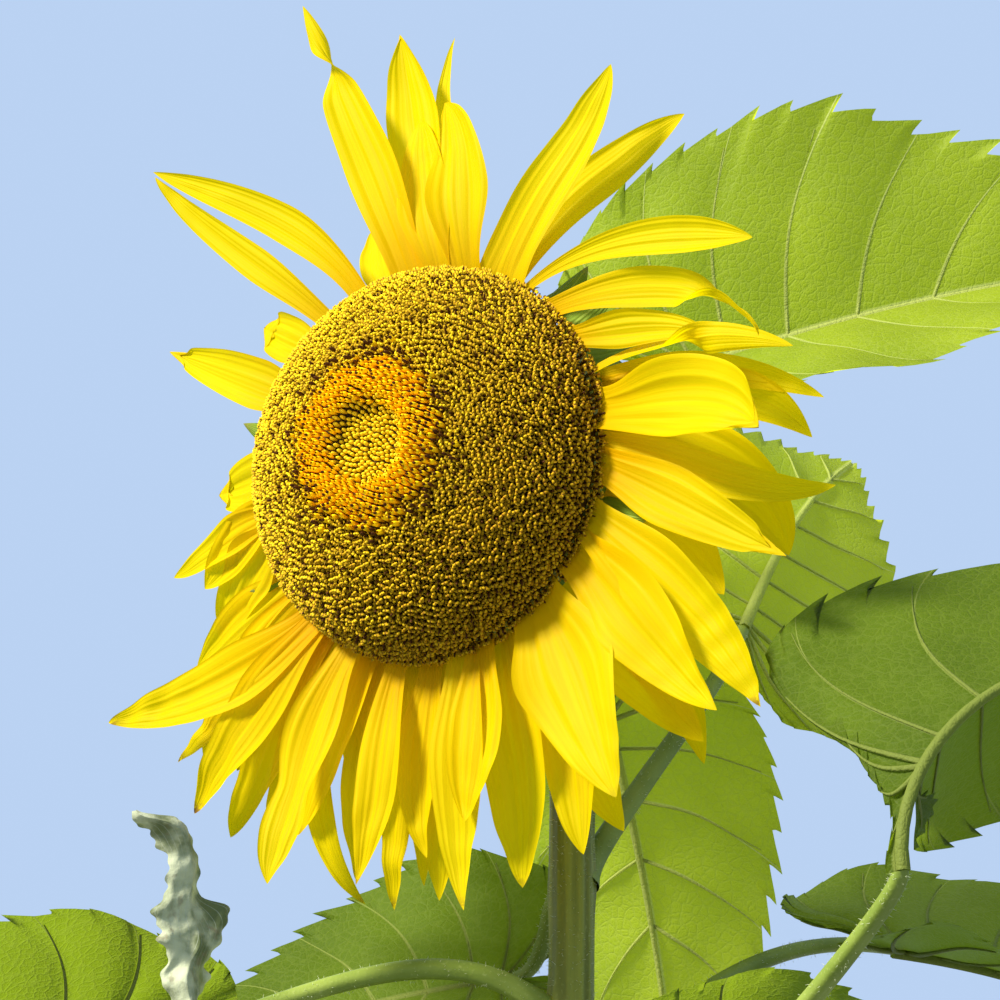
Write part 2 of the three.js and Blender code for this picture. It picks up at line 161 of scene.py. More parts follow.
def tube_frame(t, flank):
    u = unit(flank - t * (t @ flank)[:, None])
    return u, np.cross(t, u)


class Pile:
    """Vertices and faces that become one joined piece."""

    def __init__(self):
        self.co, self.quads, self.tris, self.uv = [], [], [], []
        self.extra = {}
        self.count = 0

    def add(self, co, quads=None, tris=None, uv=None, **extra):
        co = np.asarray(co, float).reshape(-1, 3)
        number = len(co)
        self.co.append(co)
        self.uv.append(np.zeros((number, 2)) if uv is None else np.asarray(uv, float).reshape(-1, 2))
        for key, value in extra.items():
            store = self.extra.setdefault(key, [np.zeros(self.count)] if self.count else [])
            store.append(np.broadcast_to(np.asarray(value, float), (number,)).copy())
        for key, store in self.extra.items():
            if key not in extra:
                store.append(np.zeros(number))
        if quads is not None:
            self.quads.append(np.asarray(quads) + self.count)
        if tris is not None:
            self.tris.append(np.asarray(tris) + self.count)
        self.count += number

    def make(self, name, material, nodes=()):
        co = np.concatenate(self.co) * MM
        quads = np.concatenate(self.quads) if self.quads else np.zeros((0, 4), int)
        tris = np.concatenate(self.tris) if self.tris else np.zeros((0, 3), int)
        loops = np.concatenate([quads.ravel(), tris.ravel()]).astype(np.int32)
        totals = np.concatenate([np.full(len(quads), 4), np.full(len(tris), 3)]).astype(np.int32)
        starts = np.concatenate([[0], np.cumsum(totals)[:-1]]).astype(np.int32)
        mesh = bpy.data.meshes.new(name)
        mesh.vertices.add(len(co))
        mesh.vertices.foreach_set("co", co.astype(np.float32).ravel())
        mesh.loops.add(len(loops))
        mesh.loops.foreach_set("vertex_index", loops)
        mesh.polygons.add(len(totals))
        mesh.polygons.foreach_set("loop_start", starts)
        mesh.polygons.foreach_set("loop_total", totals)
        mesh.polygons.foreach_set("use_smooth", np.ones(len(totals), bool))
        uv = np.concatenate(self.uv)[loops]
        layer = mesh.uv_layers.new(name="UVMap")
        layer.data.foreach_set("uv", uv.astype(np.float32).ravel())
        for key, values in self.extra.items():
            attribute = mesh.attributes.new(key, "FLOAT", "POINT")
            attribute.data.foreach_set("value", np.concatenate(values).astype(np.float32))
        mesh.update()
        mesh.validate()
        mesh.materials.append(material)
        piece = bpy.data.objects.new(name, mesh)
        bpy.context.scene.collection.objects.link(piece)
        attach(piece, "root")
        if nodes:
            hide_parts(*nodes)


# Materials

class Shader:
    """A node material built step by step."""

    def __init__(self, name):
        self.material = bpy.data.materials.new(name)
        self.material.use_nodes = True
        self.tree = self.material.node_tree
        self.tree.nodes.clear()
        self.output = self.tree.nodes.new("ShaderNodeOutputMaterial")

    def put(self, socket, value):
        if isinstance(value, bpy.types.NodeSocket):
            self.tree.links.new(value, socket)
        elif isinstance(value, tuple) and len(value) == 3 and socket.type == "RGBA":
            socket.default_value = (*value, 1.0)
        else:
            socket.default_value = value

    def node(self, kind, settings=None, *values, **inputs):
        """A node with settings, and values or links for its inputs by order or by name."""
        made = self.tree.nodes.new("ShaderNode" + kind)
        for key, value in (settings or {}).items():
            setattr(made, key, value)
        for k, value in enumerate(values):
            self.put(made.inputs[k], value)
        for key, value in inputs.items():
            self.put(made.inputs[key.replace("_", " ")], value)
        return made

    def value(self, name):
        return self.node("Attribute", {"attribute_name": name}).outputs["Fac"]

    def uv_map(self):
        return self.node("UVMap", {"uv_map": "UVMap"}).outputs["UV"]

    def uv(self):
        split = self.node("SeparateXYZ", Vector=self.uv_map())
        return split.outputs["X"], split.outputs["Y"]

    def position(self):
        return self.node("TexCoord").outputs["Object"]

    def math(self, operation, a, b=0.0):
        return self.node("Math", {"operation": operation}, a, b).outputs[0]

    def plus(self, a, b):
        return self.math("ADD", a, b)

    def times(self, a, b):
        return self.math("MULTIPLY", a, b)

    def absolute(self, a):
        return self.math("ABSOLUTE", a)

    def ramp(self, value, low, high, start=0.0, end=1.0):
        settings = {"interpolation_type": "SMOOTHSTEP"}
        return self.node("MapRange", settings, value, low, high, start, end).outputs[0]

    def mix(self, factor, a, b):
        made = self.node("Mix", {"data_type": "RGBA"})
        self.put(made.inputs[0], factor)
        self.put(made.inputs[6], a)
        self.put(made.inputs[7], b)
        return made.outputs[2]

    def noise(self, vector, scale, detail=3.0):
        return self.node("TexNoise", Vector=vector, Scale=scale, Detail=detail).outputs["Fac"]

    def borders(self, vector, scale):
        """Distance to the nearest border in a pattern of cells."""
        made = self.node("TexVoronoi", {"feature": "DISTANCE_TO_EDGE"}, Vector=vector, Scale=scale)
        return made.outputs["Distance"]

    def stretched(self, vector, x, y, z):
        return self.node("Mapping", Vector=vector, Scale=(x, y, z)).outputs["Vector"]

    def bump(self, height, strength, distance):
        return self.node("Bump", Height=height, Strength=strength, Distance=distance).outputs["Normal"]

    def surface(self, color, roughness, normal=None, through=None, share=0.0, gloss=0.4):
        """Plain surface; through is the colour of the light that shines through and share its part."""
        skin = self.node("BsdfPrincipled", Base_Color=color, Roughness=roughness, Specular_IOR_Level=gloss)
        if normal is not None:
            self.put(skin.inputs["Normal"], normal)
        result = skin.outputs["BSDF"]
        if through is not None:
            glow = self.node("BsdfTranslucent", Color=through)
            if normal is not None:
                self.put(glow.inputs["Normal"], normal)
            result = self.node("MixShader", None, share, result, glow.outputs["BSDF"]).outputs["Shader"]
        self.put(self.output.inputs["Surface"], result)
        return self.material


RAY_GROOVES = 9


def ray_material():
    m = Shader("ray petal")
    u, s = m.uv()
    tone = m.value("tone")
    streaks = m.noise(m.stretched(m.uv_map(), 22, 1.3, 1), 1.0, 2)
    patches = m.noise(m.position(), 38.0, 3)
    # Deeper orange towards the foot: the rays' own colour, deepened further as painted shade near the disc
    color = m.mix(m.ramp(s, 0.0, 0.40), (0.62, 0.33, 0.0), (0.64, 0.48, 0.0))
    color = m.mix(m.ramp(tone, 0.2, 1.0, 0.0, 0.6), color, (0.66, 0.53, 0.001))
    # Painted shade: deeper orange in the lengthwise grooves, where the folds lie in shade
    color = m.mix(m.ramp(streaks, 0.35, 0.62, 0.30, 0.0), color, (0.60, 0.32, 0.0))
    color = m.mix(m.ramp(patches, 0.42, 0.72, 0.0, 0.25), color, (0.62, 0.42, 0.0))
    green = m.times(m.value("green"), m.ramp(s, 0.1, 0.7, 1.0, 0.2))
    color = m.mix(green, color, (0.55, 0.62, 0.03))
    dry = m.times(m.value("dry"), m.ramp(m.noise(m.position(), 420.0, 2), 0.38, 0.56))
    color = m.mix(dry, color, (0.20, 0.085, 0.018))
    through = m.mix(m.ramp(s, 0.0, 0.6), (0.84, 0.60, 0.0), (0.88, 0.74, 0.0))
    through = m.mix(dry, through, (0.10, 0.05, 0.01))
    ridges = m.math("SINE", m.times(u, 2 * math.pi * RAY_GROOVES))
    height = m.plus(m.times(ridges, 0.35), m.times(streaks, 1.4))
    normal = m.bump(height, 0.30, 0.0006)
    return m.surface(color, 0.55, normal, through=through, share=0.48, gloss=0.06)


def leaf_material(name, adaxial, deep, vein_color, through, share):
    """Leaf skin. Its uv holds the place counted in side veins, and 0 at the midrib to 1 at the margin."""
    m = Shader(name)
    lines, out = m.uv()
    place = m.position()
    spread = m.value("spread")
    tone = m.value("tone")
    nearest = m.absolute(m.math("SUBTRACT", lines, m.math("ROUND", lines)))
    away = m.times(nearest, spread)
    width = m.ramp(m.absolute(out), 0.0, 1.0, 1.15, 0.35)
    vein = m.math("SUBTRACT", 1.0, m.ramp(m.math("DIVIDE", away, width), 0.35, 1.15))
    rib = m.math("SUBTRACT", 1.0, m.ramp(m.value("midrib"), 1.0, 2.4))
    vein = m.math("MAXIMUM", vein, rib)
    vein = m.math("MAXIMUM", vein, m.value("vein"))
    net = m.ramp(m.borders(place, 235.0), 0.0, 0.16, 1.0, 0.0)
    mesh = m.ramp(m.borders(place, 620.0), 0.0, 0.2, 1.0, 0.0)
    patches = m.noise(place, 16.0, 4)
    color = m.mix(m.ramp(patches, 0.3, 0.72), deep, adaxial)
    color = m.mix(m.ramp(tone, 0.0, 1.0, 0.0, 0.7), color, deep)
    color = m.mix(m.times(net, 0.11), color, vein_color)
    color = m.mix(m.times(mesh, 0.10), color, vein_color)
    color = m.mix(m.times(vein, 0.8), color, vein_color)
    spots = m.times(m.ramp(m.noise(place, 55.0, 5), 0.66, 0.72), m.value("age"))
    edge_dry = m.times(m.ramp(out, 0.93, 1.0), m.times(m.value("age"), 0.8))
    dead = m.math("MAXIMUM", spots, edge_dry)
    color = m.mix(dead, color, (0.23, 0.13, 0.045))
    lit = m.mix(m.times(vein, 0.6), through, vein_color)
    lit = m.mix(m.times(net, 0.2), lit, (0.38, 0.48, 0.05))
    lit = m.mix(dead, lit, (0.10, 0.05, 0.01))
    height = m.plus(m.times(net, -0.7), m.times(mesh, -0.4))
    height = m.plus(height, m.times(vein, -1.2))
    height = m.plus(height, m.times(m.noise(place, 300.0, 2), 0.5))
    return m.surface(color, 0.52, m.bump(height, 0.4, 0.0007), through=lit, share=share, gloss=0.07)


def stem_material(name, pale, deep, grain):
    m = Shader(name)
    place = m.position()
    streaks = m.noise(m.stretched(place, *grain), 1.0, 3)
    specks = m.noise(place, 700.0, 2)
    color = m.mix(m.ramp(streaks, 0.36, 0.64), deep, pale)
    color = m.mix(m.ramp(specks, 0.60, 0.72, 0.0, 0.3), color, (0.34, 0.38, 0.12))
    color = m.mix(m.value("age"), color, (0.30, 0.27, 0.12))
    height = m.plus(m.times(streaks, 1.0), m.times(specks, 0.8))
    return m.surface(color, 0.5, m.bump(height, 0.35, 0.0006), gloss=0.25)


def speckled_material(name, low, high, tip, scale=900.0, tipped=1.0):
    """Colour that varies from piece to piece by tone and towards the tip by uv."""
    m = Shader(name)
    _, along = m.uv()
    grain = m.noise(m.position(), scale, 3)
    color = m.mix(m.value("tone"), low, high)
    color = m.mix(m.ramp(along, 0.35, 0.95, 0.0, tipped), color, tip)
    color = m.mix(m.ramp(grain, 0.3, 0.7, 0.35, 0.0), color, low)
    return m.surface(color, 0.6, m.bump(grain, 0.35, 0.0003), gloss=0.08)


# The head's own frame: x to the right as seen from the front, y up, z forward

FORWARD = np.array([
    -math.sin(HEAD_TURN) * math.cos(HEAD_NOD),
    -math.cos(HEAD_TURN) * math.cos(HEAD_NOD),
    -math.sin(HEAD_NOD),
])
UP = unit(Z_AXIS - FORWARD * FORWARD[2])
RIGHT = np.cross(UP, FORWARD)


def from_head(points):
    points = np.asarray(points, float)
    return HEAD + points[..., 0:1] * RIGHT + points[..., 1:2] * UP + points[..., 2:3] * FORWARD


def clock(degrees):
    a = math.radians(degrees)
    return np.array([math.sin(a), math.cos(a), 0.0])


def disc_height(r):
    return DISC_HEIGHT * (1 - np.clip(r / DISC_RADIUS, 0, 1)**2.2)**(1 / 1.8)


# Ray florets. Foot and tip are clock degrees seen from the front, reach is the tip's distance from the
# head's middle and forward its height before it.

RAY_DEFAULTS = dict(
    back=0, bow=0.45, lift=12, bend=0, droop=0, roll=0, twist=0, twist_from=0.5, twist_to=0.85,
    waist=0.5, full=0.45, point=3.2, pinch=0, pinch_at=0.6, cup=0.25, dry=0, teeth=0, green=0,
)


def ray(foot, tip, reach, forward, width, **more):
    main = {"foot": foot, "tip": tip, "reach": reach, "forward": forward, "width": width}
    return {**RAY_DEFAULTS, **main, **more}


# The outer rays, each of which takes the place of one in the frame
RAYS = [
    ray(355, 345, 218, 0, 30, bow=0.7, twist=175, twist_from=0.66, twist_to=0.92, point=2.2, pinch=0.35,
        pinch_at=0.8),
    ray(2, 354, 196, -18, 31, back=2, full=0.7, point=4, teeth=0.3),
    ray(15, 1, 158, -15, 29, lift=25, droop=20, bend=-30, point=3),
    ray(27, 31, 175, -5, 23, bow=0.6, bend=-12, waist=1.05, point=4.5),
    ray(25, 39, 171, -30, 24, back=2, bow=0.4, bend=10, full=0.7, point=4),
    ray(35, 69, 167, 10, 20, bow=0.4, bend=15, waist=0.2, full=0.9, point=5),
    ray(46, 82, 153, 0, 17, bow=0.4, bend=50, twist=90, twist_from=0.55, twist_to=0.75, point=4),
    ray(72, 88, 160, -35, 15, back=2, bend=20),
    ray(76, 93, 152, -40, 24, back=2, bend=40, full=0.7),
    ray(83, 97, 163, 25, 34, bow=0.1, bend=35, full=0.6, point=6, cup=0.35, teeth=0.5),
    ray(93, 102, 179, -10, 18, bow=0, bend=-20),
    ray(99, 112, 170, 0, 27, bow=0.1, point=2.6, teeth=1),
    ray(115, 130, 184, -5, 34, bow=0.3, bend=15, point=2.5, dry=0.9),
    ray(125, 133, 175, 5, 38, bow=0.5, bend=-5, point=2.4),
    ray(144, 150, 170, 10, 52, bow=0.8, point=2.1, dry=0.3),
    ray(146, 162, 170, -20, 30, back=2, bow=0.6),
    ray(161, 172, 173, -20, 34, back=1, bend=10, dry=0.4),
    ray(171, 178, 180, -5, 29, bend=-10, point=2.4, dry=0.5),
    ray(194, 194, 170, 0, 22, bend=10, waist=0.4, dry=0.6),
    ray(217, 198, 177, -25, 16, back=2, bow=0.9, bend=-50, dry=0.6),
    ray(212, 205, 179, 10, 25, bow=0.7, bend=-10, pinch=0.25, pinch_at=0.62, point=5),
    ray(226, 225, 177, -5, 26, point=4, dry=1),
    ray(228, 243, 183, 0, 28, bow=0.9, bend=12, dry=0.9),
    ray(266, 262, 145, -20, 18, back=1, bow=0.8),
    ray(301, 299, 160, -12, 22, waist=0.7, full=0.25, point=2.5, teeth=1),
    ray(338, 319, 200, 8, 17, bow=0.95, bend=-10),
]

# Rays between and behind them
FILLER_RAYS = [
    ray(9, 0, 192, -30, 10, back=2, bend=20, green=0.3),
    ray(5, 357, 152, -15, 24, lift=25, droop=20, point=5),
    ray(344, 338, 128, -35, 20, back=2),
    ray(58, 78, 134, 0, 17, bow=0.05, bend=20, point=2.6),
    ray(72, 84, 166, 0, 15, roll=50, twist=130, twist_from=0.4, twist_to=0.65, bow=0.8, bend=20),
    ray(86, 111, 149, -38, 33, back=2, bend=45, full=0.6, point=4),
    ray(106, 120, 138, -20, 34, back=2, bend=20),
    ray(128, 143, 163, -35, 27, back=2, bend=30),
    ray(165, 175, 147, 5, 25, point=5, bend=10),
    ray(184, 185, 157, -8, 20, back=1, bend=-20),
    ray(193, 193, 177, -25, 18, back=2, dry=0.7),
    ray(186, 190, 166, -30, 20, back=2),
    ray(224, 221, 178, -20, 24, back=1, point=5),
    ray(230, 236, 176, -25, 18, back=2, dry=0.9),
    ray(258, 248, 130, -25, 30, back=1, bow=0.8, bend=-15),
    ray(278, 276, 122, -22, 25, back=1, point=5, teeth=0.8),
    ray(316, 311, 120, -12, 20, point=8, waist=0.7, teeth=1),
    ray(326, 319, 195, 10, 15, bend=8, bow=0.5),
    ray(226, 228, 158, -25, 26, back=2, dry=0.4),
    ray(206, 204, 145, -35, 30, back=2),
    ray(254, 250, 117, -25, 12, back=2),
    ray(220, 214, 172, -22, 30, back=2),
    ray(238, 234, 166, -25, 30, back=2, bow=0.7),
    ray(200, 199, 168, -20, 28, back=2, dry=0.4),
    ray(178, 186, 172, -25, 28, back=2),
    ray(208, 210, 160, -15, 28, back=1, dry=0.5),
    ray(245, 247, 150, -28, 24, back=2),
    ray(268, 257, 128, -15, 24, back=1, bow=0.7),
    ray(155, 157, 166, -30, 30, back=2),
    ray(136, 140, 160, -30, 32, back=2),
]


def ray_path(r, s):
    foot = clock(r["foot"])
    start = foot * RAY_FOOT + np.array([0, 0, -3.0 - 4.0 * r["back"]])
    tip = clock(r["tip"]) * r["reach"] + np.array([0, 0, r["forward"]])
    chord = tip - start
    length = np.linalg.norm(chord)
    along = chord / length
    ahead = r["bow"] * foot + (1 - r["bow"]) * along
    ahead = unit(ahead + np.array([0, 0, math.tan(math.radians(r["lift"]))]))
    side = unit(np.cross(along, Z_AXIS))
    end = along + math.tan(math.radians(r["bend"])) * side
    end = unit(end - np.array([0, 0, math.tan(math.radians(r["droop"]))]))
    return bezier(start, start + ahead * length * 0.35, tip - end * length * 0.35, tip, s)


def ray_width(r, s):
    grow = r["waist"] + (1 - r["waist"]) * smooth(0, r["full"], s)
    taper = np.clip(1 - s**r["point"], 0, 1)**0.85
    return grow * taper * (1 - r["pinch"] * bell(s - r["pinch_at"], 0.09))


def ray_surface(r, s, u):
    p, t = ray_path(r, s)
    flat = unit(Z_AXIS - t * t[..., 2:3])
    side = np.cross(t, flat)
    turn = np.radians(r["roll"] + r["twist"] * smooth(r["twist_from"], r["twist_to"], s))[:, None]
    across = side * np.cos(turn) + flat * np.sin(turn)
    normal = flat * np.cos(turn) - side * np.sin(turn)
    half = 0.5 * r["width"] * ray_width(r, s)
    points = p[:, None] + across[:, None] * (half[:, None] * u)[..., None]
    points = points + normal[:, None] * (r["cup"] * half[:, None] * (u**2 - 0.33))[..., None]
    return points, normal, half


RAY_ROWS = 66
RAY_COLUMNS = 23
# Half width of a ray that its folds and waves are stated for
RELIEF_HALF = 14


def add_ray(pile, r, seed):
    rng = np.random.default_rng(RAY_SEED + seed)
    s = 1 - (1 - np.linspace(0, 1, RAY_ROWS))**1.15
    u = np.linspace(-1, 1, RAY_COLUMNS)
    points, normal, half = ray_surface(r, s, u[None, :] * np.ones((RAY_ROWS, 1)))
    size = (half / RELIEF_HALF)[:, None]
    # Lengthwise folds and grooves, weaker at the foot and the tip
    folds = (np.cos(2 * math.pi * (1.1 * u + rng.uniform(0, 1))) * 0.5
             + np.cos(2 * math.pi * 2.6 * u + rng.uniform(0, 6)) * 0.3)
    strength = size * smooth(0, 0.15, s)[:, None] * (1 - smooth(0.9, 1.0, s))[:, None]
    relief = folds[None, :] * strength * rng.uniform(0.9, 1.7)
    # Wavy margins
    wave = np.sin(2 * math.pi * (rng.uniform(1.0, 1.9) * s + rng.uniform(0, 1)))[:, None]
    edge = np.abs(u)[None, :]**2 * np.sign(u)[None, :]
    relief = relief + wave * edge * size * rng.uniform(0.8, 2.4)
    # Inward roll of the margins near the tip
    curl = smooth(0.55, 1.0, s)[:, None] * (u[None, :]**4) * half[:, None] * rng.uniform(0.0, 0.45)
    relief = relief + curl
    points = points + normal[:, None] * relief[..., None]
    # Teeth at a blunt tip
    if r["teeth"]:
        _, t = ray_path(r, s)
        notch = np.cos(3 * math.pi * (u + rng.uniform(-0.12, 0.12))) * 0.5 - 0.5
        pull = smooth(0.8, 0.97, s)[:, None] * notch[None, :] * 8.0 * r["teeth"]
        points = points + t[:, None] * pull[..., None]
    # Soft dents, and a crumpled tip
    dents = ripple(from_head(points), 70, DENT_SEED + seed)[..., None] * 1.5
    dents = dents * smooth(0.1, 0.6, s)[:, None, None]
    crumple = (0.45 + 0.9 * r["dry"]) * smooth(0.45, 1.0, s)[:, None, None]
    dents = dents + ripple(from_head(points), 17, CRUMPLE_SEED + seed)[..., None] * crumple
    points = points + normal[:, None] * dents
    uv = np.stack(np.meshgrid(s, 0.5 + 0.5 * u, indexing="ij")[::-1], -1)
    dry = r["dry"] * smooth(0.93, 1.0, s)[:, None] * np.ones_like(u)[None, :]
    pile.add(from_head(points), quads=grid_quads(RAY_ROWS, RAY_COLUMNS), uv=uv,
             tone=rng.uniform(0, 1), dry=dry.ravel(), green=r["green"])


def build_rays():
    material = ray_material()
    outer = Pile()
    for k, r in enumerate(RAYS):
        add_ray(outer, r, k)
    outer.make("rays_outer", material, [f"ray_{k + 1:02d}" for k in range(len(RAYS))])
    filler = Pile()
    for k, r in enumerate(FILLER_RAYS):
        add_ray(filler, r, FILLER_SEED + k)
    filler.make("rays_filler", material)


# Disc florets

def dome_places():
    """Radius and angle of each floret, evenly over the dome's surface in a golden spiral."""
    r = np.linspace(0, DISC_EDGE, 400)
    slope = np.gradient(disc_height(r), r)
    area = np.concatenate([[0], np.cumsum(0.5 * (r[1:] + r[:-1]) * np.diff(r) * 2 * math.pi
                                          * np.sqrt(1 + (0.5 * (slope[1:] + slope[:-1]))**2))])
    # Florets stand in a hexagonal packing, more tightly towards the middle
    pitch = FLORET_PITCH * (0.72 + 0.28 * smooth(6, 48, r))
    number = np.concatenate([[0], np.cumsum(np.diff(area) / (pitch[1:]**2 * HEXAGON))])
    index = np.arange(0.5, number[-1], 1.0)
    return np.interp(index, number, r), index * FLORET_TURN


def disc_dimple(r):
    """How far the closed buds lie below the dome, and the ring round them above it."""
    return 5.6 * (1 - smooth(13, 20, r)) - 2.2 * bell(r - 25, 6)


def floret_frames(r, angle, sink):
    """Foot points on the dome and axes leaning outwards, in the head frame."""
    step = 0.4
    beyond, within = np.minimum(r + step, DISC_RADIUS * 0.999), np.maximum(r - step, 0)
    slope = np.clip((disc_height(beyond) - disc_height(within)) / (2 * step), -2.6, 0.2)
    out = np.stack([np.sin(angle), np.cos(angle), np.zeros_like(r)], -1)
    axis = unit(Z_AXIS - slope[:, None] * out)
    foot = out * r[:, None] + Z_AXIS * (disc_height(r) - disc_dimple(r))[:, None] - axis * sink
    return foot, axis, out


def rim_florets(row):
    """Feet and axes of a row of outermost florets, which lean out over the foot of the rays."""
    angle = (np.arange(RIM_COUNT) + 0.5 * row) * 2 * math.pi / RIM_COUNT
    out = np.stack([np.sin(angle), np.cos(angle), np.zeros_like(angle)], -1)
    foot = out * (RIM_RADIUS - 0.5 * row) + np.array([0, 0, -1.2 - 3.0 * row])
    axis = unit(out + np.array([0, 0, 0.30 - 0.2 * row]) + RNG.normal(size=out.shape) * 0.08)
    return foot, axis, out


def scatter(pile, template, faces, uv, foot, axis, out, size, spin, lean, tone):
    """Copies a small template to each place, as one joined mesh."""
    side = unit(np.cross(axis, out + 1e-3))
    front = np.cross(side, axis)
    c, s = np.cos(spin)[:, None], np.sin(spin)[:, None]
    x = front * c + side * s
    y = side * c - front * s
    z = unit(axis + x * lean[:, 0:1] + y * lean[:, 1:2])
    points = (template[None, :, 0:1] * x[:, None] + template[None, :, 1:2] * y[:, None]
              + template[None, :, 2:3] * z[:, None])
    points = foot[:, None] + size[:, None, None] * points
    count = len(template)
    offset = (np.arange(len(foot)) * count)[:, None, None]
    pile.add(from_head(points.reshape(-1, 3)), quads=(faces[None] + offset).reshape(-1, 4),
             uv=np.tile(uv, (len(foot), 1)), tone=np.repeat(tone, count))


def turned(profile, sides):
    """Small turned shape from (radius, height) pairs: its points, faces and uv."""
    a = ring_angles(sides)
    co = [np.stack([np.cos(a) * r, np.sin(a) * r, np.full(sides, z)], -1) for r, z in profile]
    top = profile[-1][1]
    v = np.repeat([z / top for _, z in profile], sides)
    return np.concatenate(co), grid_quads(len(profile), sides, wrap=True), np.stack([np.zeros_like(v), v], -1)


def lobed_corolla():
    """Short tube with five pointed lobes bent outwards."""
    lobes, height = 5, 3.35
    co, faces = [], []
    for k in range(lobes):
        a = 2 * math.pi * k / lobes
        start = len(co)
        for spread, r, z in ((0.62, 0.62, 0.0), (0.62, 0.95, 2.2), (0.5, 1.32, 3.15), (0.10, 1.95, height)):
            for sign in (-1, 1):
                b = a + sign * spread
                co.append((math.cos(b) * r, math.sin(b) * r, z))
        faces += [(start + 2 * j, start + 2 * j + 1, start + 2 * j + 3, start + 2 * j + 2) for j in range(3)]
    co = np.array(co)
    return co, np.array(faces), np.stack([np.zeros(len(co)), co[:, 2] / height], -1)


def curled_pair():
    """Two thin stigma branches curling away from each other."""
    co, faces, v = [], [], []
    sides, steps = 4, 5
    for sign in (-1, 1):
        start = len(co)
        for i in range(steps + 1):
            f = i / steps
            a = f * 2.9
            reach = 0.22 + 0.42 * (1 - math.cos(a))
            centre = np.array([sign * reach, 0.1 * sign, 4.3 + 0.75 * math.sin(a)])
            radial = np.array([sign * math.cos(a), 0.0, -math.sin(a)])
            thick = 0.58 * (1 - 0.2 * f)
            for k in range(sides):
                b = 2 * math.pi * k / sides
                co.append(centre + thick * (math.cos(b) * radial + math.sin(b) * np.array([0, 1.0, 0])))
                v.append(f)
        faces.append(grid_quads(steps + 1, sides, wrap=True) + start)
    return np.array(co), np.concatenate(faces), np.stack([np.zeros(len(v)), v], -1)


# Floret colours: low, high and at the tip, and how much of the tip's colour shows
FLORET_SKINS = {
    "floret bud": ((0.34, 0.20, 0.005), (0.66, 0.43, 0.008), (0.95, 0.70, 0.018), 1.0),
    "floret corolla": ((0.13, 0.05, 0.003), (0.64, 0.40, 0.006), (0.66, 0.42, 0.007), 0.4),
    "anther tube": ((0.028, 0.008, 0.003), (0.06, 0.018, 0.005), (0.09, 0.03, 0.007), 1.0),
    "stigma": ((0.30, 0.13, 0.003), (1.0, 0.73, 0.010), (1.0, 0.76, 0.012), 0.30),
    "young floret": ((0.80, 0.34, 0.002), (0.95, 0.54, 0.003), (0.98, 0.68, 0.005), 1.0),
}
BUD_SHAPE = [(0.70, 0.0), (1.08, 2.4), (1.14, 3.6), (0.86, 4.7), (0.40, 5.3), (0.04, 5.5)]
YOUNG_SHAPE = [(0.62, 0.0), (0.80, 2.4), (0.98, 4.2), (0.84, 5.4), (0.50, 6.0)]
TUBE_SHAPE = [(0.50, 4.4), (0.68, 6.0), (0.62, 7.5), (0.10, 8.2)]
COLUMN_SHAPE = [(0.36, 1.8), (0.40, 4.2), (0.38, 5.0), (0.06, 5.4)]


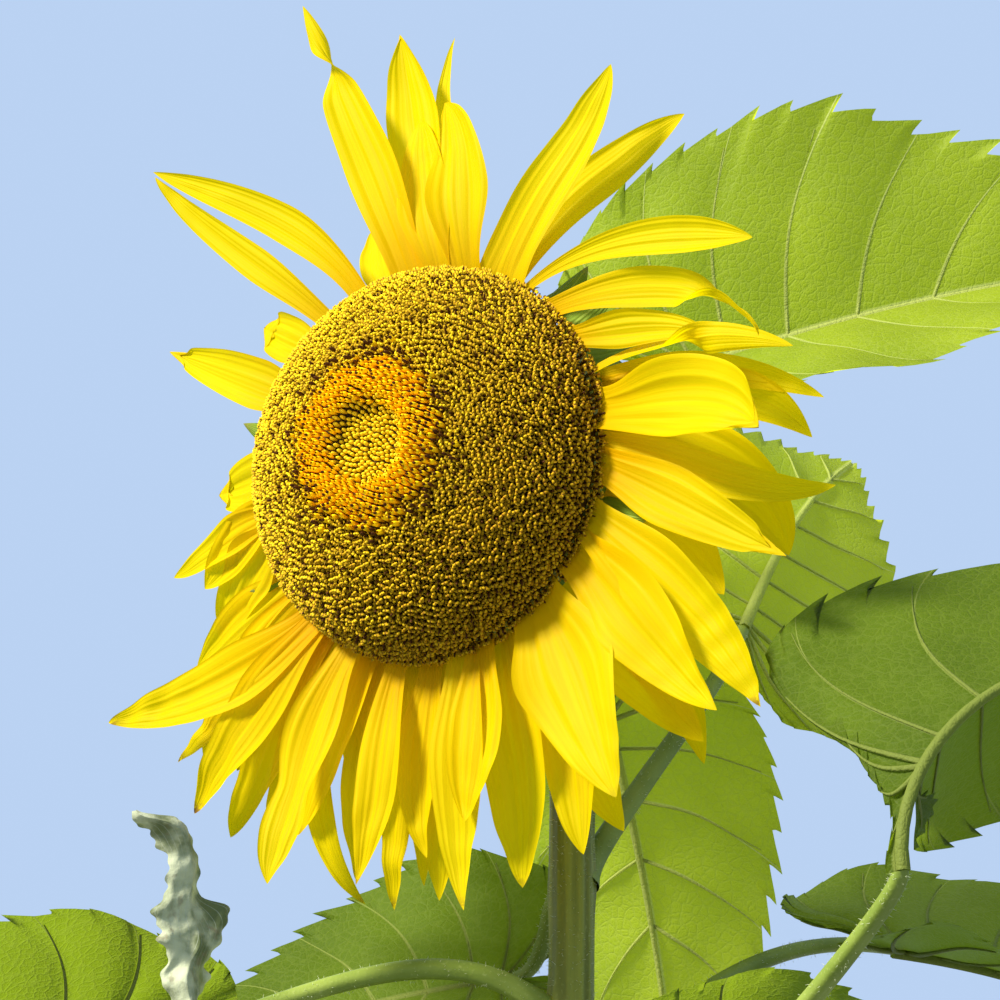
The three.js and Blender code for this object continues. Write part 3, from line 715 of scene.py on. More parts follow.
def build_disc():
    r, angle = dome_places()
    jitter = RNG.normal(size=(len(r), 2)) * 0.10
    r = np.clip(r + jitter[:, 0], 0.2, DISC_EDGE)
    angle = angle + jitter[:, 1] / np.maximum(r, 5)
    groups = [floret_frames(r, angle, FLORET_SINK)] + [rim_florets(row) for row in range(RIM_ROWS)]
    foot, axis, out = (np.concatenate(parts) for parts in zip(*groups))
    r = np.concatenate([r, np.full(RIM_ROWS * RIM_COUNT, DISC_RADIUS)])
    count = len(r)
    size = RNG.uniform(0.90, 1.12, count) * (0.72 + 0.28 * smooth(6, 46, r))
    # Branches of the stigma mostly spread round the disc, across its radius
    spin = math.pi / 2 + RNG.normal(size=count) * 0.6
    lean = RNG.normal(size=(count, 2)) * 0.06
    tone = 0.25 + 0.75 * RNG.uniform(0, 1, count)
    # Zones wander a little, as florets open at their own pace
    edge = RNG.normal(size=count) * 1.5
    bud = r < BUD_ZONE + 0.6 * edge
    ring = ~bud & (r < RING_ZONE + 2.0 * edge)
    opened = ~bud & ~ring
    # Florets are older and browner at the rim and towards the old side. Towards that side, the lower right
    # away from the sun, the darkening is also painted shade
    bearing = np.arctan2(out[:, 0], out[:, 1])
    side = (0.5 + 0.5 * np.cos(bearing - math.radians(SHADED_OLD_SIDE)))**1.3
    age = np.clip(0.35 * smooth(66, 79, r) + side * smooth(12, 62, r), 0, 1)
    dark = ring & (RNG.uniform(size=count) < 0.04 + 0.52 * smooth(22, 33, r))
    late = opened & (RNG.uniform(size=count) < 0.30 * (1 - smooth(34, 46, r)))
    fresh = opened & ~late & (RNG.uniform(size=count) < 0.97 - 0.16 * age)
    inner = r < STIGMA_SPLIT
    # Painted shade: through age, the stigmas and corollas darken and thin out towards the shaded lower right
    stigma_tone = tone * (1 - 0.75 * age)
    skins = {name: speckled_material(name, low, high, tip, tipped=tipped)
             for name, (low, high, tip, tipped) in FLORET_SKINS.items()}
    # Name, shape, florets that have it, skin, tone, growth and tilt towards the middle
    pieces = [
        ("disc_buds", turned(BUD_SHAPE, 6), bud, "floret bud", tone, 1.0, 0.0),
        ("disc_young", turned(YOUNG_SHAPE, 6), ring, "young floret", tone, 1.12, 0.25),
        ("disc_ring_anthers", turned(TUBE_SHAPE, 6), dark | late, "anther tube", tone * 0.4, 1.0, 0.25),
        ("disc_corollas", lobed_corolla(), opened, "floret corolla", tone * (1 - 0.8 * age), 1.0, 0.0),
        ("disc_anthers", turned(COLUMN_SHAPE, 5), opened, "anther tube", tone, 1.0, 0.0),
        ("disc_stigmas_inner", curled_pair(), fresh & inner, "stigma", stigma_tone, 1.0, 0.0),
        ("disc_stigmas_outer", curled_pair(), fresh & ~inner, "stigma", stigma_tone, 1.0, 0.0),
    ]
    for name, shape, mask, skin, tones, grow, tilt in pieces:
        pile = Pile()
        scatter(pile, *shape, foot[mask], unit(axis[mask] - tilt * out[mask]), out[mask], size[mask] * grow,
                spin[mask], lean[mask], tones[mask])
        pile.make(name, skins[skin])


def build_disc_floor():
    """The ground on which the florets stand."""
    rows, sides = 40, 96
    inner = DISC_RADIUS - 3.6
    radius = np.linspace(0.02, inner, rows)
    ground = np.maximum(disc_height(radius * DISC_RADIUS / inner) - 4.6 - disc_dimple(radius), -1.5)
    pile = Pile()
    pile.add(from_head(rings(radius[:, None], ground, ring_angles(sides))),
             quads=grid_quads(rows, sides, wrap=True), tone=0.3)
    skin = speckled_material("disc floor", (0.06, 0.025, 0.004), (0.13, 0.065, 0.007),
                             (0.12, 0.06, 0.006), 500.0)
    pile.make("disc_floor", skin, ["disc"])


# Receptacle and bracts

# Radius and height of the head's back, from the neck to the rim
BACK_PROFILE = np.array([
    (17.5, -42.5), (24, -40.5), (36, -37), (52, -30), (64, -23), (72, -16), (75, -10), (74, -5), (70, -3),
])


def build_receptacle(material):
    rows, sides = 40, 120
    steps = np.linspace(0, 1, rows)
    knots = np.linspace(0, 1, len(BACK_PROFILE))
    radius, depth = (np.interp(steps, knots, BACK_PROFILE[:, k]) for k in range(2))
    a = ring_angles(sides)
    swell = 1 + 0.018 * np.sin(a * 13)[None, :] * smooth(0.2, 0.8, steps)[:, None]
    world = from_head(rings(radius[:, None] * swell, depth, a))
    world = world + FORWARD * (ripple(world, 22, 5)[..., None] * 0.7)
    pile = Pile()
    pile.add(world, quads=grid_quads(rows, sides, wrap=True), age=0.0)
    pile.make("head_back", material, ["receptacle"])


# Rows of bracts: radius and height of their feet, how many, length and lean in degrees
BRACT_ROWS = [(78, -12, 17, 25, -32), (74, -18, 16, 29, -46), (66, -25, 15, 30, -58), (54, -32, 12, 28, -68)]
# Clock degrees of the few bracts whose tips show between the rays, seen from the front
LONG_BRACTS = (52, 73, 100, 112, 232, 250, 288)


def build_bracts():
    """Green bracts round the back of the head."""
    places = [(77, -9, degrees, 25, -10) for degrees in LONG_BRACTS]
    for row, (radius, depth, count, length, lean) in enumerate(BRACT_ROWS):
        for k in range(count):
            degrees = 360 * (k + 0.5 * (row % 2)) / count + RNG.normal() * 4
            places.append((radius, depth, degrees, length, lean))
    pile = Pile()
    rows, columns = 22, 9
    for radius, depth, degrees, length, lean in places:
        out = clock(degrees)
        tangent = np.cross(out, Z_AXIS)
        reach = length * RNG.uniform(0.85, 1.25)
        tilt = math.radians(lean + RNG.normal() * 12)
        s = np.linspace(0, 1, rows)
        bend = tilt + math.radians(RNG.uniform(-50, 30)) * s**1.5
        step = reach / (rows - 1)
        path = np.zeros((rows, 2))
        path[1:, 0] = np.cumsum(np.cos(bend[1:])) * step
        path[1:, 1] = np.cumsum(np.sin(bend[1:])) * step
        centre = out * (radius - 3 + path[:, 0:1]) + Z_AXIS * (depth + path[:, 1:2])
        width = RNG.uniform(13, 17) * 0.5 * (0.55 + 0.45 * smooth(0, 0.22, s)) * (1 - s)**0.9 * (1 + 0.8 * s)
        u = np.linspace(-1, 1, columns)
        drift = tangent * (RNG.normal() * 4 * s[:, None]**2)
        normal = Z_AXIS * np.cos(bend)[:, None] - out * np.sin(bend)[:, None]
        points = (centre + drift)[:, None] + tangent * (width[:, None] * u)[..., None]
        cup = (width[:, None] * u**2 * -0.35)[..., None]
        points = points + normal[:, None] * cup
        uv = np.stack(np.meshgrid(s, u, indexing="ij")[::-1], -1)
        pile.add(from_head(points), quads=grid_quads(rows, columns), uv=uv, tone=RNG.uniform(0, 1))
    m = Shader("bract")
    u, s = m.uv()
    grain = m.noise(m.position(), 260.0, 3)
    color = m.mix(m.value("tone"), (0.11, 0.175, 0.014), (0.19, 0.27, 0.026))
    color = m.mix(m.ramp(m.absolute(u), 0.0, 0.16, 0.5, 0.0), color, (0.27, 0.34, 0.06))
    color = m.mix(m.ramp(s, 0.8, 1.0, 0.0, 0.6), color, (0.26, 0.22, 0.06))
    ribs = m.math("SINE", m.times(u, 22.0))
    height = m.plus(ribs, m.times(grain, 1.5))
    normal = m.bump(height, 0.4, 0.0006)
    material = m.surface(color, 0.55, normal, through=(0.24, 0.33, 0.015), share=0.2, gloss=0.1)
    pile.make("bracts", material)


# Stem and neck

def stem_axis(z):
    z = np.asarray(z, float)
    sway = np.sin(math.pi * z / STEM_TOP)**2
    return np.stack([SWAY_X * sway, SWAY_Y * sway, z], -1)


def stem_radius(z):
    z = np.asarray(z, float)
    return STEM_RADIUS_TOP + STEM_TAPER * (1 - z / STEM_TOP) + FLARE_RADIUS * np.exp(-z / FLARE_HEIGHT)


STEM_RIBS = 11
STEM_SIDES = 60
# Heights of the scars where the lowest leaves have dropped, and the heading of the first
SCAR_LEVELS = (210, 330, 455, 560)
SCAR_HEADING = 40


def ribbed(a, s_mm):
    """Relative radius round a stem: ribs, small bumps."""
    ribs = (0.030 * np.cos(STEM_RIBS * a + 0.8 * np.sin(s_mm / 170.0))
            + 0.012 * np.cos((STEM_RIBS + 6) * a + s_mm / 90.0))
    lumps = 0.012 * np.sin(s_mm / 11.0 + 3 * a) * np.sin(s_mm / 29.0 - 2 * a)
    return 1 + ribs + lumps


def build_stem(material, leaves):
    # Rings lie closer together in the flare
    z = np.concatenate([np.linspace(0, 120, 40), np.linspace(124, STEM_TOP, 330)])
    a = ring_angles(STEM_SIDES)
    axis = stem_axis(z)
    radius = stem_radius(z)[:, None] * ribbed(a[None, :], z[:, None])
    # Each leaf foot swells its side of the stem
    for l in leaves:
        around = np.exp((np.cos(a - math.radians(l["heading"])) - 1) * 3.0)[None, :]
        radius = radius + 2.2 * around * bell(z - l["level"], 11.0)[:, None]
    for k, level in enumerate(SCAR_LEVELS):
        off = (wrapped(a - math.radians(SCAR_HEADING + GOLDEN_ANGLE * k)) * 16)[None, :]
        gap = np.sqrt(off**2 + ((z - level)[:, None] * 1.3)**2)
        radius = radius + 2.0 * bell(gap - 8, 3.2) - 1.2 * bell(gap, 5.0)
    points = np.stack([axis[:, None, 0] + radius * np.cos(a), axis[:, None, 1] + radius * np.sin(a),
                       np.repeat(z[:, None], STEM_SIDES, 1)], -1)
    age = np.repeat((1 - smooth(40, 560, z))[:, None] * 0.75, STEM_SIDES, 1)
    pile = Pile()
    pile.add(points, quads=grid_quads(len(z), STEM_SIDES, wrap=True), age=age.ravel())
    # Flat ends
    tris = np.array([(k, (k + 1) % STEM_SIDES, STEM_SIDES) for k in range(STEM_SIDES)])
    for level, ring, end_age in ((0, 0, 0.6), (STEM_TOP, len(z) - 1, 0.0)):
        pile.add(np.concatenate([points[ring], stem_axis(level)[None]]), tris=tris, age=end_age)
    pile.make("stem", material, ["stem"])


def neck_curve(s):
    top = np.array([0, 0, STEM_TOP])
    back = from_head(np.array([0, 0, -RECEPTACLE_DEPTH - NECK_REACH]))
    end = from_head(np.array([0, 0, -RECEPTACLE_DEPTH + 3]))
    return bezier(top, top + np.array([0, 0, NECK_RISE]), back, end, s)


def neck_radius(s):
    return STEM_RADIUS_TOP + (NECK_RADIUS_END - STEM_RADIUS_TOP) * s**2.5


def build_neck(material):
    s = np.linspace(0, 1, 90)
    p, t = neck_curve(s)
    u, v = tube_frame(t, RIGHT)
    a = ring_angles(STEM_SIDES)
    length = np.concatenate([[0], np.cumsum(np.linalg.norm(np.diff(p, axis=0), axis=1))])
    radius = neck_radius(s) + 9 * smooth(0.86, 1.0, s)
    radius = radius[:, None] * ribbed(a[None, :], STEM_TOP + length[:, None])
    pile = Pile()
    pile.add(tube(p, u, v, a, radius), quads=grid_quads(len(s), STEM_SIDES, wrap=True), age=0.0)
    pile.make("neck", material, ["neck"])


# Leaves. Each stands in its own frame on the stem: x outward at its heading, z up. Out and up place the
# blade's base; yaw, pitch and roll turn it; droop and sweep bend it towards the tip.

LEAF_DEFAULTS = dict(
    rise=45, ease=0.3, yaw=0, pitch=10, droop=40, bow=1.2, sweep=0, roll=0, fold=12, wave=0.03, branch=0,
    shape="heart", age=0, tone=0.4,
)


def leaf(level, heading, out, up, length, width, **more):
    return {**LEAF_DEFAULTS, "level": level, "heading": heading, "out": out, "up": up, "length": length,
            "width": width, **more}


# Tones of 0.1 and less mark the sunlit leaves, which get the brighter young skin as painted light
UPPER_LEAVES = [
    leaf(1690, 42, 66, 198, 242, 192, rise=62, yaw=-42, pitch=20, droop=16, roll=68, fold=36, tone=0.1),
    leaf(1650, 40, 100, 125, 190, 185, rise=55, yaw=24, pitch=50, droop=22, roll=-131, fold=8, tone=0.0),
    leaf(1490, -62, 243, 117, 234, 187, rise=25, ease=0.04, yaw=89, pitch=102, droop=134, bow=0.65, sweep=-28,
         roll=-83, fold=59, branch=0.15, shape="wedge", tone=0.3),
    leaf(1672, 78, 82, 73, 215, 128, rise=50, yaw=-8, pitch=-48, droop=30, tone=0.0),
    leaf(1645, 115, 56, -26, 175, 140, rise=20, yaw=52, pitch=-5, droop=20, roll=-50, tone=0.4),
    leaf(1590, 190, 186, -12, 230, 190, rise=48, yaw=12, pitch=-2, droop=36, roll=8, tone=0.2),
    leaf(1560, 38, 183, 84, 230, 190, rise=40, yaw=-20, pitch=-5, droop=40, roll=25, tone=0.6),
    leaf(1515, -15, 70, 50, 220, 190, rise=50, pitch=0, droop=50, tone=0.3),
]

WITHERED_LEAF = leaf(1545, 226, 200, 22, 88, 42, rise=12, pitch=92, droop=30, roll=60, fold=25)

LOWER_COUNT = 6
LOWER_TOP = 1370
LOWER_STEP = 140
LOWER_HEADING = 260


def lower_leaves():
    leaves = []
    for i in range(LOWER_COUNT):
        even = i % 2 == 0
        leaves.append(leaf(
            LOWER_TOP - LOWER_STEP * i, LOWER_HEADING + GOLDEN_ANGLE * i, 165 + 6 * i, 60 - 12 * i,
            270 + (i % 3) * 12, 225 + (i % 2) * 14, rise=42 - 3 * i, pitch=-2 - 5 * i, droop=48,
            sweep=10 if even else -12, roll=8 if even else -9, age=max(0.0, 0.22 * i - 0.2),
            tone=0.3 + 0.1 * i))
    return leaves


OUTLINES = {
    "heart": np.array([(-0.12, 0.075), (-0.175, 0.21), (-0.075, 0.4), (0.2, 0.5), (0.52, 0.385), (0.8, 0.15),
                       (1, 0.004)]),
    "wedge": np.array([(0, 0.03), (0.1, 0.05), (0.21, 0.22), (0.31, 0.53), (0.59, 0.42), (0.8, 0.17),
                       (1, 0.004)]),
}
# Outline positions at which the side veins end
VEIN_ENDS = np.array([-0.04, 0.10, 0.20, 0.31, 0.42, 0.51, 0.59, 0.67, 0.75, 0.83, 0.91, 1.05])


def outline(shape, t):
    """Uniform Catmull-Rom curve through the outline points."""
    knots = OUTLINES[shape]
    last = len(knots) - 1
    t = np.asarray(t, float) * last
    i = np.clip(np.floor(t).astype(int), 0, last - 1)
    w = (t - i)[..., None]
    p0, p3 = knots[np.maximum(i - 1, 0)], knots[np.minimum(i + 2, last)]
    p1, p2 = knots[i], knots[i + 1]
    v0, v1 = (p2 - p0) * 0.5, (p3 - p1) * 0.5
    return (2 * p1 - 2 * p2 + v0 + v1) * w**3 + (-3 * p1 + 3 * p2 - 2 * v0 - v1) * w**2 + v0 * w + p1


def vein_root(branch, t):
    return branch * smooth(0, 0.15, t) + 0.08 * t + (0.92 - branch) * np.clip((t - 0.45) / 0.55, 0, 1)**1.25


def midrib(l, x):
    """Points and frames of the midrib at distances x from the blade's base."""
    steps = 120
    xs = np.linspace(0, l["length"], steps + 1)
    f = xs / l["length"]
    pitch = np.radians(l["pitch"] - l["droop"] * f**l["bow"])
    yaw = np.radians(l["yaw"] + l["sweep"] * f)
    t = np.stack([np.cos(pitch) * np.cos(yaw), np.cos(pitch) * np.sin(yaw), np.sin(pitch)], -1)
    place = np.zeros((steps + 1, 3))
    place[1:] = np.cumsum(0.5 * (t[1:] + t[:-1]) * (l["length"] / steps), 0)
    place = place + np.array([l["out"], 0.0, l["up"]])
    x = np.asarray(x, float)
    inside = np.clip(x, 0, l["length"])
    p = np.stack([np.interp(inside, xs, place[:, k]) for k in range(3)], -1)
    b, a = np.interp(inside, xs, pitch), np.interp(inside, xs, yaw)
    t = np.stack([np.cos(b) * np.cos(a), np.cos(b) * np.sin(a), np.sin(b)], -1)
    up = np.stack([-np.sin(b) * np.cos(a), -np.sin(b) * np.sin(a), np.cos(b)], -1)
    left = np.cross(up, t)
    roll = math.radians(l["roll"])
    across = left * math.cos(roll) + up * math.sin(roll)
    normal = up * math.cos(roll) - left * math.sin(roll)
    return p + t * (x - inside)[..., None], t, across, normal


def blade_flat(l, t, b, tooth):
    """Place in the flat blade, in parts of its length and width; b is 1 at the margin."""
    edge = outline(l["shape"], t)
    root = vein_root(l["branch"], t)
    arch = 0.03 * np.sin(math.pi * b) * (1 - root) * smooth(0, 0.25, t)
    push = 1 + tooth * b**7
    x = root * (1 - b) + edge[..., 0] * b * push + (push - 1) * 0.35 - arch
    return x, edge[..., 1] * b * push


def blade(l, t, b, side, tooth, seed):
    x, y = blade_flat(l, t, b, tooth)
    x, y = x * l["length"], y * l["width"]
    p, _, across, normal = midrib(l, x)
    fold = math.radians(l["fold"])
    phase = 0.25 if side > 0 else 0.6
    wave = l["wave"] * l["length"] * b**2 * np.sin(math.pi * t)
    lift = y * math.sin(fold) + wave * np.sin(2 * math.pi * (1.6 * t + phase))
    lines = np.interp(t, VEIN_ENDS, np.arange(len(VEIN_ENDS)))
    between = np.abs(np.sin(math.pi * lines))
    size = l["length"] / TYPICAL_LENGTH
    # Blade swells up between its veins, and its margin flutters
    quilt = 2.6 * size * (between**0.8 - 0.5) * smooth(0.0, 0.25, b) * (1 - 0.5 * smooth(0.75, 1.0, b))
    flutter = 3.0 * size * b**5 * np.sin(2 * math.pi * (5.3 * t + 0.3 * seed + phase))
    flutter = flutter * np.sin(math.pi * np.clip(t, 0, 1))
    point = p + across * (side * y * math.cos(fold))[..., None]
    point = point + normal * (lift + quilt + flutter)[..., None]
    rough = ripple(np.stack([x, side * y, 0 * x], -1), 95 * size, ROUGH_SEED + seed)
    rough = rough * 3.2 * size * smooth(0.1, 0.8, b)
    return point + normal * rough[..., None], lines, np.abs(y)


def to_world(l, points):
    a = math.radians(l["heading"])
    c, s = math.cos(a), math.sin(a)
    turn = np.array([[c, s, 0], [-s, c, 0], [0, 0, 1.0]])
    return points @ turn + stem_axis(l["level"])


# Teeth along each margin, the (place, height) pairs of one, and the blade's rows from midrib to margin
TEETH = 30
TOOTH_SHAPE = np.array([(0.0, 0.0), (0.28, 0.32), (0.55, 0.72), (0.76, 1.0), (0.88, 0.35)])
TOOTH_DEPTH = 0.052
ACROSS = 20
STALK_SIDES = 20
VEIN_SIDES = 6
# On a vein's raised tube the skin takes its place from the vein itself, far from the drawn midrib
NO_MIDRIB = 99.0
FLANK = np.array([0, 1.0, 0])


def petiole_curve(l, s):
    start = np.array([stem_radius(l["level"]) * 0.5, 0, 0])
    p, t, _, _ = midrib(l, np.array([0.0]))
    end, t = p[0], t[0]
    span = np.linalg.norm(end - start)
    rise = math.radians(l["rise"])
    first = start + np.array([math.cos(rise), 0, math.sin(rise)]) * span * 0.4
    return bezier(start, first, end - t * span * l["ease"], end, s)


def petiole_radius(l):
    """Radius of a leaf's stalk where it leaves the stem."""
    return PETIOLE_RADIUS * math.sqrt(l["width"] / TYPICAL_WIDTH)


def add_petiole(pile, l):
    s = np.linspace(0, 1, 40)
    p, t = petiole_curve(l, s)
    u, v = tube_frame(t, FLANK)
    a = ring_angles(STALK_SIDES)
    thick = petiole_radius(l)
    radius = thick * (1 - 0.4 * s) + 4.0 * np.exp(-s / 0.035) * (thick / PETIOLE_RADIUS)
    # v points down along the stalk, so its groove lies at -v
    groove = 1 - 0.22 * bell(wrapped(a + math.pi / 2), 0.5)
    ribs = 1 + 0.03 * np.cos(7 * a)
    points = tube(p, u, v, a, radius[:, None] * (groove * ribs)[None, :])
    pile.add(to_world(l, points), quads=grid_quads(len(s), STALK_SIDES, wrap=True), age=0.3 * l["age"])


def add_vein_tube(pile, l, path, normal, radius):
    """Raised vein along the underside of the blade."""
    t = unit(np.gradient(path, axis=0))
    side = unit(np.cross(t, normal))
    radius = radius[:, None]
    points = tube(path - normal * (radius * 0.55), side, normal, ring_angles(VEIN_SIDES), radius)
    pile.add(to_world(l, points), quads=grid_quads(len(path), VEIN_SIDES, wrap=True), vein=1.0,
             midrib=NO_MIDRIB, spread=1.0, uv=np.full((len(path) * VEIN_SIDES, 2), 0.5), tone=l["tone"])


def add_blade(pile, l, seed):
    rng = np.random.default_rng(BLADE_SEED + seed)
    place, height = TOOTH_SHAPE.T
    t = np.concatenate([*((k + place) / TEETH for k in range(TEETH)), [1.0]])
    heights = np.concatenate([*(height * rng.uniform(0.55, 1.25) for _ in range(TEETH)), [0.0]])
    tooth = heights * (smooth(0.02, 0.12, t) * (1 - 0.7 * smooth(0.85, 1.0, t))) * TOOTH_DEPTH
    b = 1 - (1 - np.linspace(0, 1, ACROSS))**1.25
    size = l["length"] / TYPICAL_LENGTH
    run = np.linspace(0.0, 0.94, 14)
    smooth_edge = np.zeros_like(run)
    for side in (-1, 1):
        T, B = np.meshgrid(t, b, indexing="ij")
        points, lines, off = blade(l, T, B, side, np.repeat(tooth[:, None], ACROSS, 1), seed)
        steps = np.linalg.norm(np.gradient(points, axis=0), axis=-1)
        spread = np.clip(steps / np.maximum(np.gradient(lines, axis=0), 1e-6), 0, 400)
        pile.add(to_world(l, points), quads=grid_quads(len(t), ACROSS), uv=np.stack([lines, B], -1),
                 spread=spread.ravel(), midrib=off.ravel(), tone=l["tone"], age=l["age"])
        # Side veins, of which a few near the base are thicker
        for k, end in enumerate(VEIN_ENDS[1:-1]):
            ends = np.full_like(run, end)
            path, _, _ = blade(l, ends, run, side, smooth_edge, seed)
            x, _ = blade_flat(l, ends, run, smooth_edge)
            _, _, _, normal = midrib(l, x * l["length"])
            first = 1.35 if 1 <= k <= 3 else 0.9
            add_vein_tube(pile, l, path, normal, first * size * (1 - 0.75 * run))
    x = np.linspace(0, l["length"] * 0.97, 30)
    path, _, _, normal = midrib(l, x)
    radius = 2.9 * math.sqrt(l["width"] / TYPICAL_WIDTH) * (1 - 0.86 * x / l["length"])
    add_vein_tube(pile, l, path, normal, radius)


# Half widths of the withered blade along its length
WITHERED_PLACES = (0, 0.12, 0.25, 0.36, 0.46, 0.54, 0.62, 0.74, 0.84, 0.93, 1)
WITHERED_HALVES = (3.5, 8.0, 12.5, 14.5, 14.5, 10.5, 7.2, 6.0, 7.0, 4.2, 0.8)


def add_withered(pile, l):
    """Crumpled dry blade, folded along its midrib and hooked over at its tip."""
    rows, columns = 110, 60
    s = np.linspace(0, 1, rows)
    u = np.linspace(-1, 1, columns)
    S, U = np.meshgrid(s, u, indexing="ij")
    p, _, across, normal = midrib(l, S * l["length"])
    half = np.interp(S, WITHERED_PLACES, WITHERED_HALVES)
    half = half * (1 + 0.45 * bell(S - 0.44, 0.09) * np.clip(U, 0, 1))
    rag = 1 + 0.13 * np.sin(S * 43) * np.abs(U)**4 + 0.08 * np.sin(S * 91 + 2) * np.abs(U)**6
    curl = U * (0.75 + 0.5 * smooth(0.4, 0.9, S) + 0.25 * np.sin(S * 5.0 + 0.8))
    reach = half * rag
    turn = 0.55 * np.sin(3.4 * S + 0.4)
    x = np.sin(curl) / 0.85 * reach
    y = (1 - np.cos(curl)) * reach + 3.0 * np.abs(U)
    point = p + across * (x * np.cos(turn) - y * np.sin(turn))[..., None]
    point = point + normal * (x * np.sin(turn) + y * np.cos(turn))[..., None]
    # Deep soft folds, small puckers and a rolled margin
    folds = ripple(point, 30, 11)[..., None] * 3.5 + ripple(point, 12, 12)[..., None] * 0.8
    point = point + normal * folds + across * ripple(point, 34, 13)[..., None] * 3.5
    point = point + normal * (ripple(point, 6, 14) * 0.25)[..., None]
    hook = smooth(0.68, 1.0, S)[..., None]
    point = point - across * hook * 12 - Z_AXIS * hook**2 * 5
    pile.add(to_world(l, point), quads=grid_quads(rows, columns), uv=np.stack([U, S], -1), tone=0.5)


def withered_material():
    m = Shader("withered leaf")
    u, s = m.uv()
    place = m.position()
    patches = m.noise(place, 70.0, 5)
    veins = m.absolute(m.math("SINE", m.times(m.plus(m.absolute(u), s), 16.0)))
    color = m.mix(m.ramp(patches, 0.40, 0.64), (0.10, 0.12, 0.05), (0.50, 0.52, 0.33))
    color = m.mix(m.ramp(veins, 0.0, 0.22, 0.55, 0.0), color, (0.42, 0.44, 0.34))
    color = m.mix(m.ramp(m.noise(place, 160.0, 3), 0.58, 0.70, 0.0, 0.5), color, (0.20, 0.14, 0.08))
    height = m.plus(m.times(patches, 2.0), m.noise(place, 420.0, 3))
    return m.surface(color, 0.8, m.bump(height, 0.4, 0.001), through=(0.20, 0.25, 0.07), share=0.2, gloss=0.1)


def build_leaf(name, skin, slot, l, add, *more, stalk_skin):
    """One leaf as two pieces, its blade and its stalk."""
    pile = Pile()
    add(pile, l, *more)
    pile.make(f"leaf_{name}_blade", skin, [f"leaf_{name}"])
    stalk = Pile()
    add_petiole(stalk, l)
    stalk.make(f"petiole_{name}_stalk", stalk_skin, [f"petiole_{name}"])


def build_leaves(leaves, stalk_skin):
    # Painted light: the young skin is a brighter copy of the leaf skin for the top leaves that the sun lights
    # and shines through. The plain leaf skin is a darker copy for the upper leaves in shade. The young top
    # leaves are also paler by nature
    young = leaf_material("young leaf painted bright", (0.245, 0.31, 0.015), (0.155, 0.215, 0.011), (0.50, 0.54, 0.15),
                          (0.72, 0.81, 0.026), 0.50)
    upper = leaf_material("leaf", (0.085, 0.128, 0.006), (0.042, 0.07, 0.004), (0.22, 0.26, 0.05),
                          (0.30, 0.42, 0.010), 0.42)
    lower = leaf_material("lower leaf", (0.095, 0.15, 0.012), (0.05, 0.09, 0.008), (0.21, 0.25, 0.06),
                          (0.22, 0.33, 0.014), 0.36)
    for k, l in enumerate(leaves):
        # Leaves of tone 0.1 or less, the sunlit ones, take the brighter young skin as painted light
        skin = young if l["tone"] <= 0.1 else upper if k < len(UPPER_LEAVES) else lower
        build_leaf(f"{k + 1:02d}", skin, "leaf_green", l, add_blade, k, stalk_skin=stalk_skin)
    build_leaf("withered", withered_material(), "leaf_withered", WITHERED_LEAF, add_withered,
               stalk_skin=stalk_skin)


# Bristles on stem, neck and stalks

def add_bristles(pile, point, normal, length, thick):
    count = len(point)
    droop = unit(normal + RNG.normal(size=normal.shape) * 0.35)
    side = unit(np.cross(droop, RNG.normal(size=normal.shape)))
    other = np.cross(droop, side)
    tip = point + droop * length[:, None]
    ring = []
    for k in range(3):
        a = 2 * math.pi * k / 3
        ring.append(point + (side * math.cos(a) + other * math.sin(a)) * thick)
    co = np.stack([*ring, tip], 1)
    base = (np.arange(count) * 4)[:, None, None]
    tris = (np.array([(0, 1, 3), (1, 2, 3), (2, 0, 3)])[None] + base).reshape(-1, 3)
    pile.add(co.reshape(-1, 3), tris=tris)


# How many bristles stand on the stem, the neck and each stalk, and their radius there
STEM_BRISTLES, NECK_BRISTLES, STALK_BRISTLES = 5200, 1500, 260
STEM_BRISTLE, STALK_BRISTLE = 0.14, 0.12


def round_tube(t, flank):
    """Random directions away from a tube that runs along t."""
    u, v = tube_frame(t, flank)
    a = RNG.uniform(0, 2 * math.pi, len(t))[:, None]
    return u * np.cos(a) + v * np.sin(a)


def build_bristles(leaves):
    pile = Pile()
    count = STEM_BRISTLES
    z = STEM_TOP - (STEM_TOP - 60) * RNG.uniform(size=count)**1.5
    a = RNG.uniform(0, 2 * math.pi, count)
    normal = np.stack([np.cos(a), np.sin(a), np.zeros(count)], -1)
    point = stem_axis(z) + normal * stem_radius(z)[:, None]
    add_bristles(pile, point, normal, RNG.uniform(1.0, 2.6, count), STEM_BRISTLE)
    s = RNG.uniform(0, 0.93, NECK_BRISTLES)
    p, t = neck_curve(s)
    normal = round_tube(t, RIGHT)
    point = p + normal * neck_radius(s)[:, None]
    add_bristles(pile, point, normal, RNG.uniform(1.0, 2.8, NECK_BRISTLES), STEM_BRISTLE)
    for l in leaves:
        s = RNG.uniform(0.06, 0.98, STALK_BRISTLES)
        p, t = petiole_curve(l, s)
        normal = round_tube(t, FLANK)
        thick = petiole_radius(l) * (1 - 0.4 * s)
        point = to_world(l, p + normal * thick[:, None])
        direction = unit(to_world(l, p + normal * (thick[:, None] + 1)) - point)
        add_bristles(pile, point, direction, RNG.uniform(0.8, 2.0, STALK_BRISTLES), STALK_BRISTLE)
    m = Shader("bristle")
    grain = m.noise(m.position(), 200.0, 2)
    color = m.mix(m.ramp(grain, 0.3, 0.7), (0.50, 0.55, 0.28), (0.76, 0.78, 0.50))
    material = m.surface(color, 0.5, through=(0.8, 0.85, 0.65), share=0.4)
    pile.make("bristles", material)


# Floor, light and camera, in metres

FLOOR_HALF = 6.0
FLOOR_DROP = 0.002
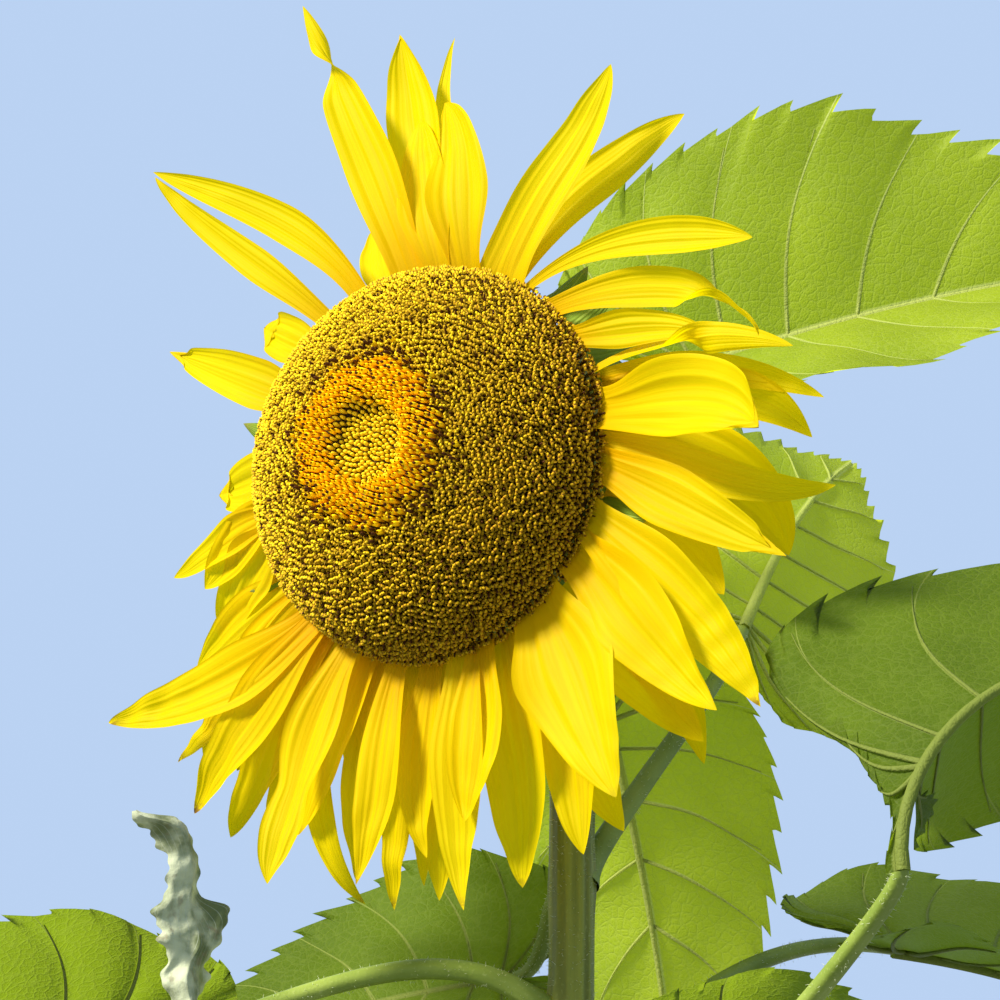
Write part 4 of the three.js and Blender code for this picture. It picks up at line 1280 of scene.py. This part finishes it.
# Broad sun from the upper left, and an even pale sky
SUN_PLACE = (-4.0, -3.0, 5.05)
SUN_TARGET = (0, 0, 1.7)
SUN_ENERGY = 9.0
SUN_SPREAD = 12.0
SUN_COLOR = (1.0, 0.97, 0.90)
SKY_COLOR = (0.52, 0.68, 0.94, 1.0)
SKY_STRENGTH = 0.95
CAMERA_PLACE = (-0.0296, -1.51213, 1.32278)
CAMERA_PITCH = 18.0
CAMERA_LENS = 135.0
CAMERA_SENSOR = 36.0

def build_stage():
    mesh = bpy.data.meshes.new("floor")
    corners = [(x * FLOOR_HALF, y * FLOOR_HALF, 0) for x, y in ((-1, -1), (1, -1), (1, 1), (-1, 1))]
    mesh.from_pydata(corners, [], [(0, 1, 2, 3)])
    floor = bpy.data.objects.new("floor", mesh)
    m = Shader("floor")
    grain = m.noise(m.position(), 3.0, 2)
    color = m.mix(m.ramp(grain, 0.3, 0.7), (0.29, 0.295, 0.30), (0.31, 0.315, 0.32))
    mesh.materials.append(m.surface(color, 0.8))
    bpy.context.scene.collection.objects.link(floor)
    floor.location.z = -FLOOR_DROP


def add_sun(name):
    lamp = bpy.data.lights.new(name, "SUN")
    lamp.energy = SUN_ENERGY
    lamp.color = SUN_COLOR
    lamp.angle = math.radians(SUN_SPREAD)
    light = bpy.data.objects.new(name, lamp)
    bpy.context.scene.collection.objects.link(light)
    light.location = SUN_PLACE
    light.rotation_euler = (Vector(SUN_TARGET) - Vector(SUN_PLACE)).to_track_quat("-Z", "Y").to_euler()


def build_light_and_camera():
    scene = bpy.context.scene
    world = bpy.data.worlds.new("studio")
    world.use_nodes = True
    back = world.node_tree.nodes["Background"]
    back.inputs["Color"].default_value = SKY_COLOR
    back.inputs["Strength"].default_value = SKY_STRENGTH
    scene.world = world
    add_sun("key")
    camera = bpy.data.objects.new("camera", bpy.data.cameras.new("camera"))
    camera.data.lens = CAMERA_LENS
    camera.data.sensor_width = CAMERA_SENSOR
    camera.location = CAMERA_PLACE
    camera.rotation_euler = (math.radians(90 + CAMERA_PITCH), 0, 0)
    scene.collection.objects.link(camera)
    scene.camera = camera
    scene.view_settings.view_transform = "Standard"


LEAVES = UPPER_LEAVES + lower_leaves()
STALK_SKIN = stem_material("stalk skin", (0.21, 0.265, 0.04), (0.14, 0.19, 0.022), (30, 30, 30))
STEM_SKIN = stem_material("stem skin", (0.23, 0.25, 0.034), (0.13, 0.145, 0.016), (260, 260, 9))
build_rays()
build_disc()
build_disc_floor()
build_receptacle(STEM_SKIN)
build_bracts()
build_stem(STEM_SKIN, LEAVES + [WITHERED_LEAF])
build_neck(STEM_SKIN)
build_leaves(LEAVES, STALK_SKIN)
build_bristles(LEAVES + [WITHERED_LEAF])
build_stage()
build_light_and_camera()
